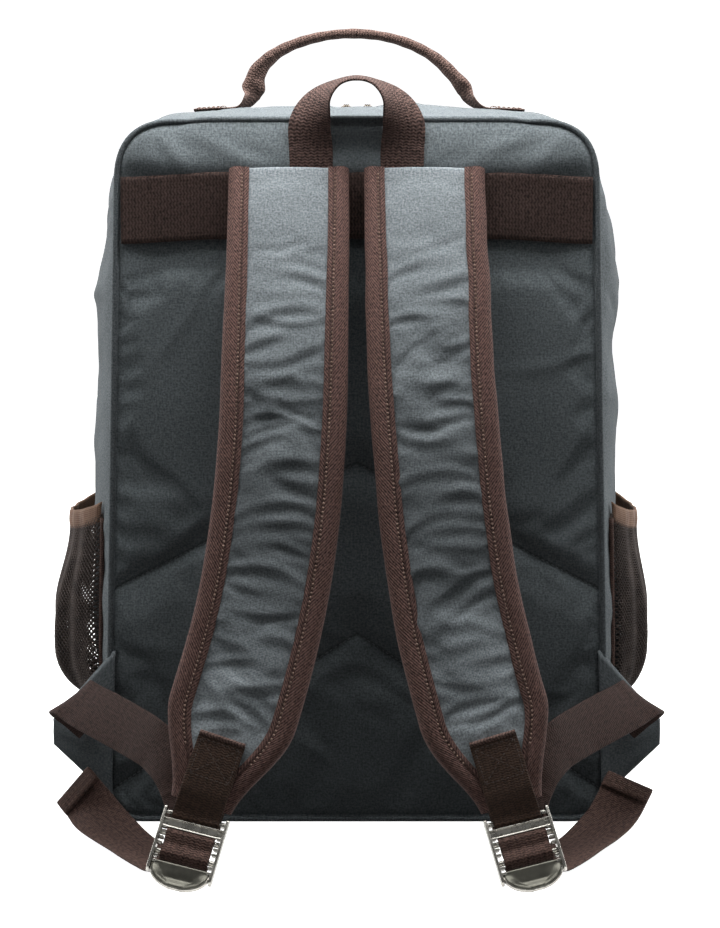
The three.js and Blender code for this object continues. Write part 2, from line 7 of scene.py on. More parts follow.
import bmesh
import bpy
import numpy as np
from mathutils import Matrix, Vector


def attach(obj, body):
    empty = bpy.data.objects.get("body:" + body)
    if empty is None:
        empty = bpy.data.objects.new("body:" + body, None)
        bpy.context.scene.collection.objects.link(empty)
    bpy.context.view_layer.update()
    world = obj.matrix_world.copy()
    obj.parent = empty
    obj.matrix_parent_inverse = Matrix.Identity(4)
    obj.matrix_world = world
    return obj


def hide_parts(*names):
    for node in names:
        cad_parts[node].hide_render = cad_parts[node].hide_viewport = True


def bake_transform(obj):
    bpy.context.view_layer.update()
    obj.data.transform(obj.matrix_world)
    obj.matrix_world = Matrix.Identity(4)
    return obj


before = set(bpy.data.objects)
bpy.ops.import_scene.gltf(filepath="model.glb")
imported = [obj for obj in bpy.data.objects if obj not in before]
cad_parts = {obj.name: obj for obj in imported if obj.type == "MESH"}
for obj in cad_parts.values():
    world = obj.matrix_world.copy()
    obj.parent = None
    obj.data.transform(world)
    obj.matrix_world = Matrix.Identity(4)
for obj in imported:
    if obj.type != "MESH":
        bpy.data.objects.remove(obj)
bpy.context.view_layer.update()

MM = 0.001

# The bag's shape, as in the CAD model.
SEAM_HEIGHT = 436
HALF_TOP = 147
HALF_BASE = 158
TOP_CORNER = 36
BASE_CORNER = 24
BACK_Y = -75
FRONT_Y = 65
ZIP_Y = 32
LID_Z = 122
SIDE_SWELL = 17
TOP_SWELL = 13
SIDE_LOW = 26
SIDE_HIGH = 404
CORNER_SPAN = (88, 112)
HANDLE_Y = -5
WEBBING_WIDTH = 30
STRAP_HALF = 36.5
STRAP_THICK = 10
STRAP_END_THIN = 0.55
STRAP_LENGTH = 381
BINDING = 13.5
CORNER_PINCH = 0.7
RIM_BULGE = 0.25
STRAP_ROUTE = [
    [41, 17, 404], [41, 28, 380], [41.8, 45, 340], [42.5, 60, 300], [44.8, 75.5, 250],
    [49, 88, 200], [56.8, 101, 150], [69.8, 116, 100], [82, 127.4, 62], [87, 131, 46.5],
]
STRAP_SWAY = [0, 0, 0.3, 0.6, 1.4, 1.6, 1.4, 1.0, 0.3, 0]
SIDES = {"left": -1, "right": 1}


# ---------------------------------------------------------------- numbers

def smoothstep(x, low, high):
    t = np.clip((np.asarray(x, float) - low) / (high - low), 0, 1)
    return t * t * (3 - 2 * t)


def mix(a, b, t):
    return a + (b - a) * t


def unit(v):
    return v / np.maximum(np.linalg.norm(v, axis=-1, keepdims=True), 1e-9)


def grid_of(rows, cols):
    """The two coordinates of a grid of points, by its rows and its columns."""
    return np.meshgrid(rows, cols, indexing="ij")


def crowded(s, amount=0.3):
    """Numbers from -1 to 1, drawn closer together towards both ends."""
    return s * (1 + amount - amount * s * s)


def travelled(line):
    """The distance along a line at each of its points."""
    return np.concatenate([[0], np.cumsum(np.linalg.norm(np.diff(line, axis=0), axis=1))])


def along_line(where, distance, values):
    """Values along a line at given distances."""
    return np.stack([np.interp(where, distance, values[:, k]) for k in range(values.shape[1])], -1)


def ripple(x, y, scale, seed, waves=9, stretch=1.0):
    """Smooth random undulation between about -1 and 1, with features of a given size in mm."""
    draw = np.random.default_rng(seed)
    total = np.zeros(np.broadcast(x, y).shape)
    for _ in range(waves):
        angle = draw.uniform(0, math.tau)
        size = scale * draw.uniform(0.6, 1.6)
        phase = draw.uniform(0, math.tau)
        total += np.sin(math.tau * (x * math.cos(angle) / stretch + y * math.sin(angle)) / size + phase)
    return total / math.sqrt(waves) / 1.4


def folds(x, y, seed, count, span_x, span_y, length, width, tilt=0.3, lie=0.0):
    """Soft ridges scattered over a patch: a sum of long narrow bumps, mostly along one direction."""
    draw = np.random.default_rng(seed)
    total = np.zeros(np.broadcast(x, y).shape)
    for _ in range(count):
        cx = draw.uniform(*span_x)
        cy = draw.uniform(*span_y)
        angle = lie + draw.normal(0, tilt)
        half_long = length * draw.uniform(0.5, 1.3)
        half_wide = width * draw.uniform(0.6, 1.4)
        sign = draw.choice([1, 1, -1])
        dx, dy = x - cx, y - cy
        along = dx * math.cos(angle) + dy * math.sin(angle)
        across = dy * math.cos(angle) - dx * math.sin(angle) + 0.0025 * along**2 * draw.normal(0, 1)
        total += sign * np.exp(-((along / half_long) ** 2) - (across / half_wide) ** 2)
    return total


# ---------------------------------------------------------------- meshes

def make_object(name, points, faces, material, uv=None, smooth=True, sharp=None):
    mesh = bpy.data.meshes.new(name)
    mesh.from_pydata((np.asarray(points, float) * MM).tolist(), [], faces)
    mesh.update()
    if uv is not None:
        layer = mesh.uv_layers.new(name="UVMap")
        index = np.empty(len(mesh.loops), int)
        mesh.loops.foreach_get("vertex_index", index)
        layer.data.foreach_set("uv", (np.asarray(uv, float)[index] * MM).ravel())
    mesh.polygons.foreach_set("use_smooth", [smooth] * len(mesh.polygons))
    if sharp is not None:
        mesh.set_sharp_from_angle(angle=math.radians(sharp))
    mesh.materials.append(material)
    obj = bpy.data.objects.new(name, mesh)
    bpy.context.scene.collection.objects.link(obj)
    return obj


def grid_normals(p, ring=False):
    if ring:
        wide = np.concatenate([p[-1:], p, p[:1]])
        du = wide[2:] - wide[:-2]
    else:
        du = np.gradient(p, axis=0)
    return unit(np.cross(du, np.gradient(p, axis=1)))


def quads(rows, cols, ring):
    found = []
    for i in range(rows if ring else rows - 1):
        k = (i + 1) % rows
        for j in range(cols - 1):
            found.append((i * cols + j, k * cols + j, k * cols + j + 1, i * cols + j + 1))
    return found


def closed_sheet(name, front, back, material, ring=False, uv=None, inside=None):
    """A closed solid between two grids of points, with a rounded rim.

    Its UVs are in mm. The back may have its own material.
    """
    rows, cols = front.shape[:2]
    n = rows * cols
    if uv is None:
        wide, long = measure(front, 0), measure(front, 1)
        uv = np.stack(grid_of(np.linspace(0, wide, rows), np.linspace(0, long, cols)), -1)
    uv = uv.reshape(-1, 2)
    flat_front, flat_back = front.reshape(-1, 3), back.reshape(-1, 3)
    points, uvs = [flat_front, flat_back], [uv, uv]
    one_side = quads(rows, cols, ring)
    faces = one_side + [tuple(n + k for k in reversed(f)) for f in one_side]
    start = 2 * n
    inner = inward_steps(front, ring)
    for loop in border_loops(rows, cols, ring):
        middle = (flat_front[loop] + flat_back[loop]) / 2
        thick = np.linalg.norm(flat_front[loop] - flat_back[loop], axis=1, keepdims=True)
        points.append(middle - inner[loop] * thick * RIM_BULGE)
        uvs.append(uv[loop])
        count = len(loop)
        for k in range(count):
            a, b = loop[k], loop[(k + 1) % count]
            ma, mb = start + k, start + (k + 1) % count
            faces.append((b, a, ma, mb))
            faces.append((mb, ma, n + a, n + b))
        start += count
    points = np.concatenate(points)
    obj = make_object(name, points, orient(points, faces), material, np.concatenate(uvs))
    if inside:
        obj.data.materials.append(inside)
        for polygon in obj.data.polygons[len(one_side) : 2 * len(one_side)]:
            polygon.material_index = 1
    return obj


def border_loops(rows, cols, ring):
    """The points round a grid's border, or along its two open edges if it is a ring."""
    first = [i * cols for i in range(rows)]
    last = [i * cols + cols - 1 for i in range(rows)]
    if ring:
        return [first, last]
    end_row = [(rows - 1) * cols + j for j in range(cols - 2, -1, -1)]
    return [[*range(cols), *last[1:], *end_row, *first[-2:0:-1]]]


def orient(points, faces):
    """Makes neighbouring faces agree and point outwards."""
    mesh = bpy.data.meshes.new("orient")
    mesh.from_pydata(points.tolist(), [], faces)
    bm = bmesh.new()
    bm.from_mesh(mesh)
    bmesh.ops.recalc_face_normals(bm, faces=bm.faces)
    fixed = [tuple(v.index for v in f.verts) for f in bm.faces]
    bm.free()
    bpy.data.meshes.remove(mesh)
    return fixed


def inward_steps(p, ring):
    """At each border point of a grid, the unit direction towards the inside of the sheet."""
    step = np.zeros_like(p)
    if not ring:
        step[0] += unit(p[1] - p[0])
        step[-1] += unit(p[-2] - p[-1])
    step[:, 0] += unit(p[:, 1] - p[:, 0])
    step[:, -1] += unit(p[:, -2] - p[:, -1])
    return unit(step).reshape(-1, 3)


def measure(p, axis):
    """The mean length of a grid of points along one of its axes."""
    return float(np.linalg.norm(np.diff(p, axis=axis), axis=-1).sum(axis).mean())


def thick_sheet(name, front, thickness, material, ring=False, flip=False, **extra):
    """A closed sheet of even thickness behind a grid of points."""
    normal = grid_normals(front, ring) * (-1 if flip else 1)
    return closed_sheet(name, front, front - normal * thickness, material, ring, **extra)


def loft(name, centres, across, out, section, material, across_uv=None, sharp=None, smooth=True, caps=True):
    """A closed section, an array of [across, out] pairs or one for each frame, carried along frames."""
    centres, across, out = (np.asarray(a, float) for a in (centres, across, out))
    section = np.asarray(section, float)
    if section.ndim == 2:
        section = np.repeat(section[None], len(centres), 0)
    rows, sides = section.shape[:2]
    p = centres[:, None] + across[:, None] * section[..., :1] + out[:, None] * section[..., 1:]
    along = travelled(centres)
    if across_uv is None:
        across_uv = section[0, :, 0]
    uv = np.stack(np.broadcast_arrays(np.asarray(across_uv)[None], along[:, None]), -1)
    faces = []
    for i in range(rows - 1):
        for k in range(sides):
            m = (k + 1) % sides
            faces.append((i * sides + k, i * sides + m, (i + 1) * sides + m, (i + 1) * sides + k))
    points = p.reshape(-1, 3)
    uv = uv.reshape(-1, 2)
    if caps:
        faces.append(tuple(range(sides)))
        faces.append(tuple(reversed(range((rows - 1) * sides, rows * sides))))
    return make_object(name, points, orient(points, faces), material, uv, smooth, sharp)


def route(stops, steps):
    """Points, tangents and stop numbers evenly spaced along a smooth line through stops."""
    p = np.asarray(stops, float)
    ends = np.concatenate([[2 * p[0] - p[1]], p, [2 * p[-1] - p[-2]]])
    dense, number = [], []
    for i in range(1, len(ends) - 2):
        q = ends[i - 1 : i + 3]
        knots = np.concatenate([[0], np.cumsum(np.linalg.norm(np.diff(q, axis=0), axis=1) ** 0.5)])
        for t in np.linspace(knots[1], knots[2], 24, endpoint=False):
            a = [mix(q[k], q[k + 1], (t - knots[k]) / (knots[k + 1] - knots[k])) for k in range(3)]
            b = [mix(a[k], a[k + 1], (t - knots[k]) / (knots[k + 2] - knots[k])) for k in range(2)]
            dense.append(mix(b[0], b[1], (t - knots[1]) / (knots[2] - knots[1])))
            number.append(i - 1 + (t - knots[1]) / (knots[2] - knots[1]))
    dense.append(p[-1])
    number.append(len(p) - 1)
    dense = np.array(dense)
    length = travelled(dense)
    wanted = np.linspace(0, length[-1], steps + 1)
    points = along_line(wanted, length, dense)
    tangents = unit(np.gradient(points, axis=0))
    return points, tangents, np.interp(wanted, length, number)


def frames_along(stops, widths, steps):
    """Frames along a route: centre, across and out, with the width's direction given at each stop."""
    points, tangents, number = route(stops, steps)
    widths = np.asarray(widths, float)
    across = along_line(number, np.arange(len(widths)), widths)
    across = unit(across - tangents * np.sum(across * tangents, -1, keepdims=True))
    return points, across, np.cross(across, tangents), tangents


def strip_section(width, thick):
    """A strip's cross-section with rounded selvedges."""
    h, t = width / 2, thick / 2
    side = [
        (-h, 0), (-h + 0.25 * t, -0.75 * t), (-h + 1.2 * t, -t), (-h / 3, -t),
        (h / 3, -t), (h - 1.2 * t, -t), (h - 0.25 * t, -0.75 * t), (h, 0),
    ]
    return np.array(side + [(-a, -o) for a, o in side[1:-1]])


def ribbon(name, stops, widths, steps, material, width=WEBBING_WIDTH, thick=1.7):
    centres, across, out, _ = frames_along(stops, widths, steps)
    return loft(name, centres, across, out, strip_section(width, thick), material)


def tube(name, centres, radius, material, sides=10, closed=False):
    """A round cord along points."""
    centres = np.asarray(centres, float)
    if closed:
        tangents = unit(np.roll(centres, -1, 0) - np.roll(centres, 1, 0))
    else:
        tangents = unit(np.gradient(centres, axis=0))
    reference = np.array([0.0, 1.0, 0.0])
    if np.mean(np.abs(tangents @ reference)) > 0.9:
        reference = np.array([1.0, 0.0, 0.0])
    a = unit(np.cross(tangents, reference))
    b = np.cross(tangents, a)
    angle = np.linspace(0, math.tau, sides, endpoint=False)
    radius = np.broadcast_to(radius, len(centres))[:, None, None]
    ring = np.cos(angle)[None, :, None] * a[:, None] + np.sin(angle)[None, :, None] * b[:, None]
    p = centres[:, None] + ring * radius
    uv = np.stack(np.broadcast_arrays((angle * 2)[None], travelled(centres)[:, None]), -1).reshape(-1, 2)
    rows = len(centres)
    faces = []
    for i in range(rows if closed else rows - 1):
        m = (i + 1) % rows
        for k in range(sides):
            j = (k + 1) % sides
            faces.append((i * sides + k, i * sides + j, m * sides + j, m * sides + k))
    if not closed:
        faces += [tuple(range(sides)), tuple(reversed(range((rows - 1) * sides, rows * sides)))]
    points = p.reshape(-1, 3)
    return make_object(name, points, orient(points, faces), material, uv)


def stitches(name, lines, material, pitch=3.0, length=2.1, radius=0.28):
    """Rows of short raised threads. Each line is a pair: points along it, and the way off the cloth."""
    points, faces = [], []
    for line, lift in lines:
        line = np.asarray(line, float)
        lift = np.broadcast_to(lift, line.shape)
        distance = travelled(line)
        count = max(1, int(distance[-1] / pitch))
        for k in range(count):
            middle = (k + 0.5) * distance[-1] / count
            ends = along_line(np.array([middle - length / 2, middle + length / 2]), distance, line)
            up = along_line(middle, distance, lift)
            up = up / np.linalg.norm(up)
            along = unit(ends[1] - ends[0])
            side = np.cross(along, up)
            base = len(points)
            for share, fat in ((0, 0.35), (0.25, 1), (0.75, 1), (1, 0.35)):
                at = mix(ends[0], ends[1], share) + up * radius * (0.9 * fat - 0.4)
                for ca, sa in ((1, 0), (0, 1), (-1, 0), (0, -1)):
                    points.append(at + (side * ca * 1.1 + up * sa) * radius * fat)
            for i in range(3):
                for q in range(4):
                    a, b = base + 4 * i + q, base + 4 * i + (q + 1) % 4
                    faces.append((a, b, b + 4, a + 4))
            faces.append((base + 3, base + 2, base + 1, base))
            faces.append((base + 12, base + 13, base + 14, base + 15))
    return make_object(name, points, faces, material)


def subdivide(obj, levels=1):
    modifier = obj.modifiers.new("smooth", "SUBSURF")
    modifier.levels = levels
    modifier.render_levels = levels
    apply_modifiers(obj)
    return obj


def apply_modifiers(obj):
    graph = bpy.context.evaluated_depsgraph_get()
    mesh = bpy.data.meshes.new_from_object(obj.evaluated_get(graph), depsgraph=graph)
    obj.modifiers.clear()
    old = obj.data
    obj.data = mesh
    bpy.data.meshes.remove(old)


def join(name, objects):
    """Joins pieces into one object, keeping each one's material."""
    for o in bpy.context.selected_objects:
        o.select_set(False)
    for o in objects:
        o.select_set(True)
    bpy.context.view_layer.objects.active = objects[0]
    bpy.ops.object.join()
    joined = bpy.context.view_layer.objects.active
    joined.name = name
    joined.data.name = name
    joined.select_set(False)
    return joined


def place(obj, body, slot, *nodes):
    """The piece rides on a CAD body and stands for CAD nodes, which it hides. Its slot is not used.

    A piece given no body rides on none.
    """
    if body:
        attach(obj, body)
    if nodes:
        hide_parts(*nodes)
    return obj


def billow(front, pinned, pressure=2.0, growth=0.03, cap=4.0, frames=18, stiffness=12, bending=0.4):
    """Lets a grid of cloth swell and buckle with its pinned points held, and returns the grid."""
    rows, cols = front.shape[:2]
    mesh = bpy.data.meshes.new("billow")
    shift = np.array([0, -400.0, 0])
    mesh.from_pydata(((front.reshape(-1, 3) + shift) * MM).tolist(), [], quads(rows, cols, False))
    cloth = bpy.data.objects.new("billow", mesh)
    bpy.context.scene.collection.objects.link(cloth)
    group = cloth.vertex_groups.new(name="pin")
    group.add(np.flatnonzero(pinned.ravel()).tolist(), 1.0, "REPLACE")
    modifier = cloth.modifiers.new("cloth", "CLOTH")
    settings = modifier.settings
    settings.quality = 6
    settings.mass = 0.15
    settings.tension_stiffness = stiffness
    settings.compression_stiffness = stiffness
    settings.shear_stiffness = stiffness / 2
    settings.bending_stiffness = bending
    settings.vertex_group_mass = "pin"
    settings.pin_stiffness = 10
    settings.use_pressure = True
    settings.uniform_pressure_force = pressure
    settings.shrink_min = -growth
    settings.effector_weights.gravity = 0
    modifier.collision_settings.use_collision = False
    modifier.point_cache.frame_start = 1
    modifier.point_cache.frame_end = frames
    scene = bpy.context.scene
    for number in range(1, frames + 1):
        scene.frame_set(number)
    graph = bpy.context.evaluated_depsgraph_get()
    result = cloth.evaluated_get(graph).data
    moved = np.empty(len(result.vertices) * 3)
    result.vertices.foreach_get("co", moved)
    moved = moved.reshape(rows, cols, 3) / MM - shift
    bpy.data.objects.remove(cloth)
    bpy.data.meshes.remove(mesh)
    scene.frame_set(1)
    step = moved - front
    far = np.linalg.norm(step, axis=-1, keepdims=True)
    return front + step * np.minimum(1, cap / np.maximum(far, 1e-6))


# ---------------------------------------------------------------- materials

class Shader:
    """One procedural material, built node by node."""

    def __init__(self, name, colour, roughness=0.85, metallic=0.0, sheen=0.0, coat=0.0):
        self.material = bpy.data.materials.new(name)
        self.material.use_nodes = True
        self.tree = self.material.node_tree
        self.bsdf = self.tree.nodes["Principled BSDF"]
        self.bsdf.inputs["Base Color"].default_value = (*colour, 1)
        self.bsdf.inputs["Roughness"].default_value = roughness
        self.bsdf.inputs["Metallic"].default_value = metallic
        self.bsdf.inputs["Sheen Weight"].default_value = sheen
        self.bsdf.inputs["Sheen Roughness"].default_value = 0.45
        self.bsdf.inputs["Coat Weight"].default_value = coat
        self.bsdf.inputs["Specular IOR Level"].default_value = 0.5 if metallic else 0.16
        self.normal = None

    def feed(self, socket, value):
        if isinstance(value, bpy.types.NodeSocket):
            self.tree.links.new(value, socket)
        else:
            socket.default_value = value

    def add(self, kind, **settings):
        node = self.tree.nodes.new(kind)
        for key, value in settings.items():
            setattr(node, key, value)
        return node

    def math(self, operation, *values, clamp=False):
        node = self.add("ShaderNodeMath", operation=operation, use_clamp=clamp)
        for socket, value in zip(node.inputs, values):
            self.feed(socket, value)
        return node.outputs[0]

    def uv(self):
        """The UV map's two axes, in mm."""
        node = self.add("ShaderNodeUVMap", uv_map="UVMap")
        split = self.add("ShaderNodeSeparateXYZ")
        self.feed(split.inputs[0], node.outputs[0])
        return self.math("MULTIPLY", split.outputs[0], 1000), self.math("MULTIPLY", split.outputs[1], 1000)

    def noise_at(self, u, v, scale_u, scale_v, detail=2.0, seed=0.0):
        """Noise over the cloth with its own feature size, in mm, along each axis."""
        join_node = self.add("ShaderNodeCombineXYZ")
        self.feed(join_node.inputs[0], self.math("DIVIDE", u, scale_u))
        self.feed(join_node.inputs[1], self.math("DIVIDE", v, scale_v))
        join_node.inputs[2].default_value = seed
        return self.noise(join_node.outputs[0], 1.0, detail)

    def noise(self, vector, scale, detail=2.0):
        node = self.add("ShaderNodeTexNoise")
        if vector is not None:
            self.feed(node.inputs["Vector"], vector)
        node.inputs["Scale"].default_value = scale
        node.inputs["Detail"].default_value = detail
        return node.outputs["Fac"]

    def body_noise(self, size, detail=2.0):
        """Noise through space, with a feature size in mm."""
        where = self.add("ShaderNodeTexCoord").outputs["Object"]
        return self.noise(where, 1000.0 / size, detail)

    def wave(self, value, pitch):
        """A sine of a distance in mm, from 0 to 1."""
        turned = self.math("MULTIPLY", value, math.tau / pitch)
        return self.math("MULTIPLY_ADD", self.math("SINE", turned), 0.5, 0.5)

    def stretch(self, value, low, high):
        node = self.add("ShaderNodeMapRange")
        self.feed(node.inputs["Value"], value)
        node.inputs["From Min"].default_value = low
        node.inputs["From Max"].default_value = high
        return node.outputs["Result"]

    def ramp(self, value, stops):
        """A smooth curve of a distance in mm through stops, each a distance and a level."""
        node = self.add("ShaderNodeFloatCurve")
        reach = stops[-1][0]
        curve = node.mapping.curves[0]
        curve.points[0].location = (0.0, stops[0][1] / 2)
        curve.points[1].location = (1.0, stops[-1][1] / 2)
        for where, level in stops[1:-1]:
            curve.points.new(where / reach, level / 2)
        node.mapping.update()
        self.feed(node.inputs["Value"], self.math("DIVIDE", value, reach, clamp=True))
        return self.math("MULTIPLY", node.outputs[0], 2)

    def blend_colour(self, factor, dark, light):
        node = self.add("ShaderNodeMix", data_type="RGBA")
        self.feed(node.inputs[0], factor)
        for socket, value in ((node.inputs[6], dark), (node.inputs[7], light)):
            self.feed(socket, value if isinstance(value, bpy.types.NodeSocket) else (*value, 1))
        return node.outputs[2]

    def scale_colour(self, colour, factor):
        node = self.add("ShaderNodeVectorMath", operation="SCALE")
        self.feed(node.inputs[0], colour)
        self.feed(node.inputs["Scale"], factor)
        return node.outputs[0]

    def bump(self, height, distance, strength=1.0):
        node = self.add("ShaderNodeBump")
        self.feed(node.inputs["Height"], height)
        node.inputs["Distance"].default_value = distance * MM
        node.inputs["Strength"].default_value = strength
        if self.normal is not None:
            self.feed(node.inputs["Normal"], self.normal)
        self.normal = node.outputs["Normal"]
        self.feed(self.bsdf.inputs["Normal"], self.normal)

    def colour(self, value):
        self.feed(self.bsdf.inputs["Base Color"], value)

    def roughness(self, value):
        self.feed(self.bsdf.inputs["Roughness"], value)


def canvas_material(name, dark, light, mottle=0.12, seams=(), painted_light_stops=()):
    """Heathered plain-weave canvas: slubby yarns both ways, a fine weave and a random mottle.

    Seams are inverted Vs, by the height of the apex and the slope, with painted shade along their lines.
    Painted light and shade are given by stops along v, which scale the colour.
    """
    s = Shader(name, light, roughness=0.95, sheen=0.03)
    u, v = s.uv()
    warp = s.noise_at(u, v, 0.9, 3.6, 2.0, 1.0)
    weft = s.noise_at(u, v, 3.6, 0.9, 2.0, 5.0)
    fleck = s.noise_at(u, v, 1.25, 1.25, 3.0, 9.0)
    yarns = s.math("MULTIPLY_ADD", s.math("ADD", warp, weft), 0.24, s.math("MULTIPLY", fleck, 0.52))
    heather = s.stretch(yarns, 0.4, 0.6)
    weave = s.math("MULTIPLY", s.wave(u, 0.9), s.wave(v, 0.9))
    cloth = s.blend_colour(heather, dark, light)
    mottle_and_painted_light = s.math("MULTIPLY_ADD", s.body_noise(38, 3.0), 2 * mottle, 1 - mottle)
    for apex, slope in seams:
        line = s.math("MULTIPLY_ADD", s.math("ABSOLUTE", u), slope, s.math("SUBTRACT", v, apex))
        crease = s.stretch(s.math("ABSOLUTE", line), 0.3, 1.9)
        # Painted shade: the canvas is darkened along the seam's groove.
        mottle_and_painted_light = s.math("MULTIPLY", mottle_and_painted_light, s.math("MULTIPLY_ADD", crease, 0.42, 0.58))
        s.bump(crease, 1.2, 0.6)
    # Painted light and shade: the colour is scaled by stops along the cloth.
    if painted_light_stops:
        mottle_and_painted_light = s.math("MULTIPLY", mottle_and_painted_light, s.ramp(v, painted_light_stops))
    s.colour(s.scale_colour(cloth, mottle_and_painted_light))
    s.bump(s.body_noise(14, 3.0), 0.5, 0.3)
    s.bump(s.math("MULTIPLY_ADD", weave, 0.5, s.math("MULTIPLY", yarns, 2.0)), 0.2, 0.6)
    return s.material


def webbing_material(name, dark, light, pitch=1.5, column=1.7):
    """Woven strap: columns of slanted yarns that lean one way and then the other."""
    s = Shader(name, light, roughness=0.85, sheen=0.015)
    u, v = s.uv()
    lean = s.math("PINGPONG", u, column)
    drift = s.math("MULTIPLY", s.noise_at(u, v, 4.0, 4.0, 1.0, 7.0), 0.9)
    rows = s.wave(s.math("ADD", s.math("MULTIPLY_ADD", lean, 0.45, v), drift), pitch)
    gaps = s.wave(u, column)
    height = s.math("MULTIPLY_ADD", gaps, 0.3, rows)
    worn = s.noise_at(u, v, 1.6, 3.2, 3.0, 2.0)
    tone = s.math("MULTIPLY_ADD", worn, 1.2, s.math("MULTIPLY", rows, 0.35))
    s.colour(s.blend_colour(s.stretch(tone, 0.45, 1.1), dark, light))
    s.bump(s.body_noise(20, 2.0), 0.5, 0.3)
    s.bump(height, 0.24, 0.8)
    return s.material


def herringbone_material(name, dark, light, apex=4.0, pitch=2.2):
    """Binding tape: slanted ribs that meet in a V along one line."""
    s = Shader(name, light, roughness=0.85, sheen=0.015)
    u, v = s.uv()
    from_apex = s.math("ABSOLUTE", s.math("SUBTRACT", u, apex))
    drift = s.math("MULTIPLY", s.noise_at(u, v, 5.0, 5.0, 1.0, 7.0), 1.1)
    ribs = s.wave(s.math("ADD", s.math("MULTIPLY_ADD", from_apex, 1.3, v), drift), pitch)
    spine = s.stretch(from_apex, 0.2, 1.0)
    worn = s.noise_at(u, v, 1.3, 1.8, 3.0, 4.0)
    tone = s.math("MULTIPLY_ADD", worn, 1.5, s.math("MULTIPLY", ribs, 0.5))
    tone = s.math("MULTIPLY", s.stretch(tone, 0.6, 1.45), s.math("MULTIPLY_ADD", spine, 0.5, 0.5))
    s.colour(s.blend_colour(tone, dark, light))
    s.bump(s.body_noise(16, 2.0), 0.5, 0.3)
    s.bump(s.math("MULTIPLY", ribs, s.math("MULTIPLY_ADD", spine, 0.6, 0.4)), 0.26, 0.8)
    return s.material


def thread_material(name, colour):
    s = Shader(name, colour, roughness=0.6, sheen=0.1)
    s.colour(s.blend_colour(s.body_noise(1.2, 1.0), tuple(0.6 * c for c in colour), colour))
    return s.material


def metal_material(name, colour, roughness=0.2):
    """Plated steel with faint brushing and handling marks."""
    s = Shader(name, colour, roughness=roughness, metallic=1.0)
    marks = s.body_noise(5, 4.0)
    fine = s.body_noise(0.6, 2.0)
    s.colour(s.blend_colour(s.stretch(marks, 0.35, 0.7), tuple(0.7 * c for c in colour), colour))
    s.roughness(s.math("MULTIPLY_ADD", marks, 0.22, roughness - 0.08))
    s.bump(fine, 0.03, 0.5)
    return s.material


def plain_cloth_material(name, dark, light, pitch=1.0):
    """Lining or mesh yarn: a close, soft weave."""
    s = Shader(name, light, roughness=0.8, sheen=0.1)
    u, v = s.uv()
    weave = s.math("MULTIPLY", s.wave(u, pitch), s.wave(v, pitch))
    tone = s.math("MULTIPLY_ADD", s.body_noise(9, 3.0), 0.7, s.math("MULTIPLY", weave, 0.4))
    s.colour(s.blend_colour(s.stretch(tone, 0.25, 0.9), dark, light))
    s.bump(weave, 0.2, 0.6)
    return s.material


def board_material(name, dark, light):
    """Grained plastic sheet."""
    s = Shader(name, light, roughness=0.6)
    grain = s.body_noise(1.5, 4.0)
    s.colour(s.blend_colour(grain, dark, light))
    s.bump(grain, 0.15, 0.6)
    return s.material


PANEL_SEAMS = ((226, 81 / 154), (119, 103 / 160))
# Painted shade on the back panel: darker towards its bottom.
PANEL_PAINTED_SHADE = ((0, 0.72), (80, 0.72), (170, 0.95), (250, 0.92), (350, 0.95), (SEAM_HEIGHT, 1.0))
# Painted light along the straps: brighter at the top and most at the lower end, with painted shade about 230
# mm down.
STRAP_PAINTED_LIGHT = ((0, 1.18), (50, 1.08), (130, 0.86), (230, 0.64), (310, 1.2), (STRAP_LENGTH, 1.9))
CANVAS = canvas_material("canvas", (0.075, 0.088, 0.094), (0.155, 0.172, 0.181))
# The back panel's canvas is a slightly darker, shaded copy of the canvas, with painted shade towards its
# bottom and along its seams.
CANVAS_PANEL_SHADED = canvas_material("panel_canvas_shaded", (0.066, 0.079, 0.084), (0.15, 0.168, 0.177), seams=PANEL_SEAMS,
                               painted_light_stops=PANEL_PAINTED_SHADE)
# The straps' canvas is a lighter, lit copy of the canvas, with painted light along it.
CANVAS_STRAP_LIT = canvas_material("strap_canvas_lit", (0.088, 0.101, 0.108), (0.19, 0.21, 0.221),
                               painted_light_stops=STRAP_PAINTED_LIGHT)
# The piping cord is a darker copy of the canvas: painted shade for the shadow along the seams.
CANVAS_SEAM_SHADE = canvas_material("canvas_piping_painted_shade", (0.045, 0.053, 0.057), (0.11, 0.123, 0.13))
WEBBING = webbing_material("webbing", (0.02, 0.012, 0.0095), (0.115, 0.067, 0.055))
# A lighter, lit copy of the webbing for the grab handle and the tab's fold: painted light.
HANDLE_WEBBING_LIT = webbing_material("handle_webbing_lit", (0.02, 0.0125, 0.0105), (0.175, 0.11, 0.092), pitch=1.8,
                                  column=1.8)
# A darker, shaded copy of the webbing for the hang loop: painted shade.
LOOP_WEBBING_SHADED = webbing_material("loop_webbing_shaded", (0.011, 0.007, 0.0062), (0.118, 0.071, 0.06), pitch=1.8,
                                column=1.9)
LOAD_WEBBING = webbing_material("load_webbing", (0.01, 0.006, 0.005), (0.052, 0.029, 0.024))
TAB_WEBBING = webbing_material("tab_webbing", (0.012, 0.0075, 0.0055), (0.062, 0.036, 0.025))
BAND = webbing_material("band_webbing", (0.013, 0.0085, 0.0075), (0.07, 0.043, 0.036), pitch=2.0, column=2.0)
TAPE = herringbone_material("herringbone_tape", (0.011, 0.006, 0.005), (0.165, 0.092, 0.078))
TRIM = plain_cloth_material("pocket_elastic", (0.12, 0.066, 0.044), (0.33, 0.205, 0.14), pitch=1.2)
NET = plain_cloth_material("pocket_net", (0.022, 0.016, 0.014), (0.13, 0.1, 0.088), pitch=0.8)
LINING = plain_cloth_material("lining", (0.11, 0.09, 0.065), (0.26, 0.215, 0.16), pitch=1.1)
AIR_MESH = plain_cloth_material("strap_backing", (0.02, 0.022, 0.023), (0.075, 0.08, 0.083), pitch=2.4)
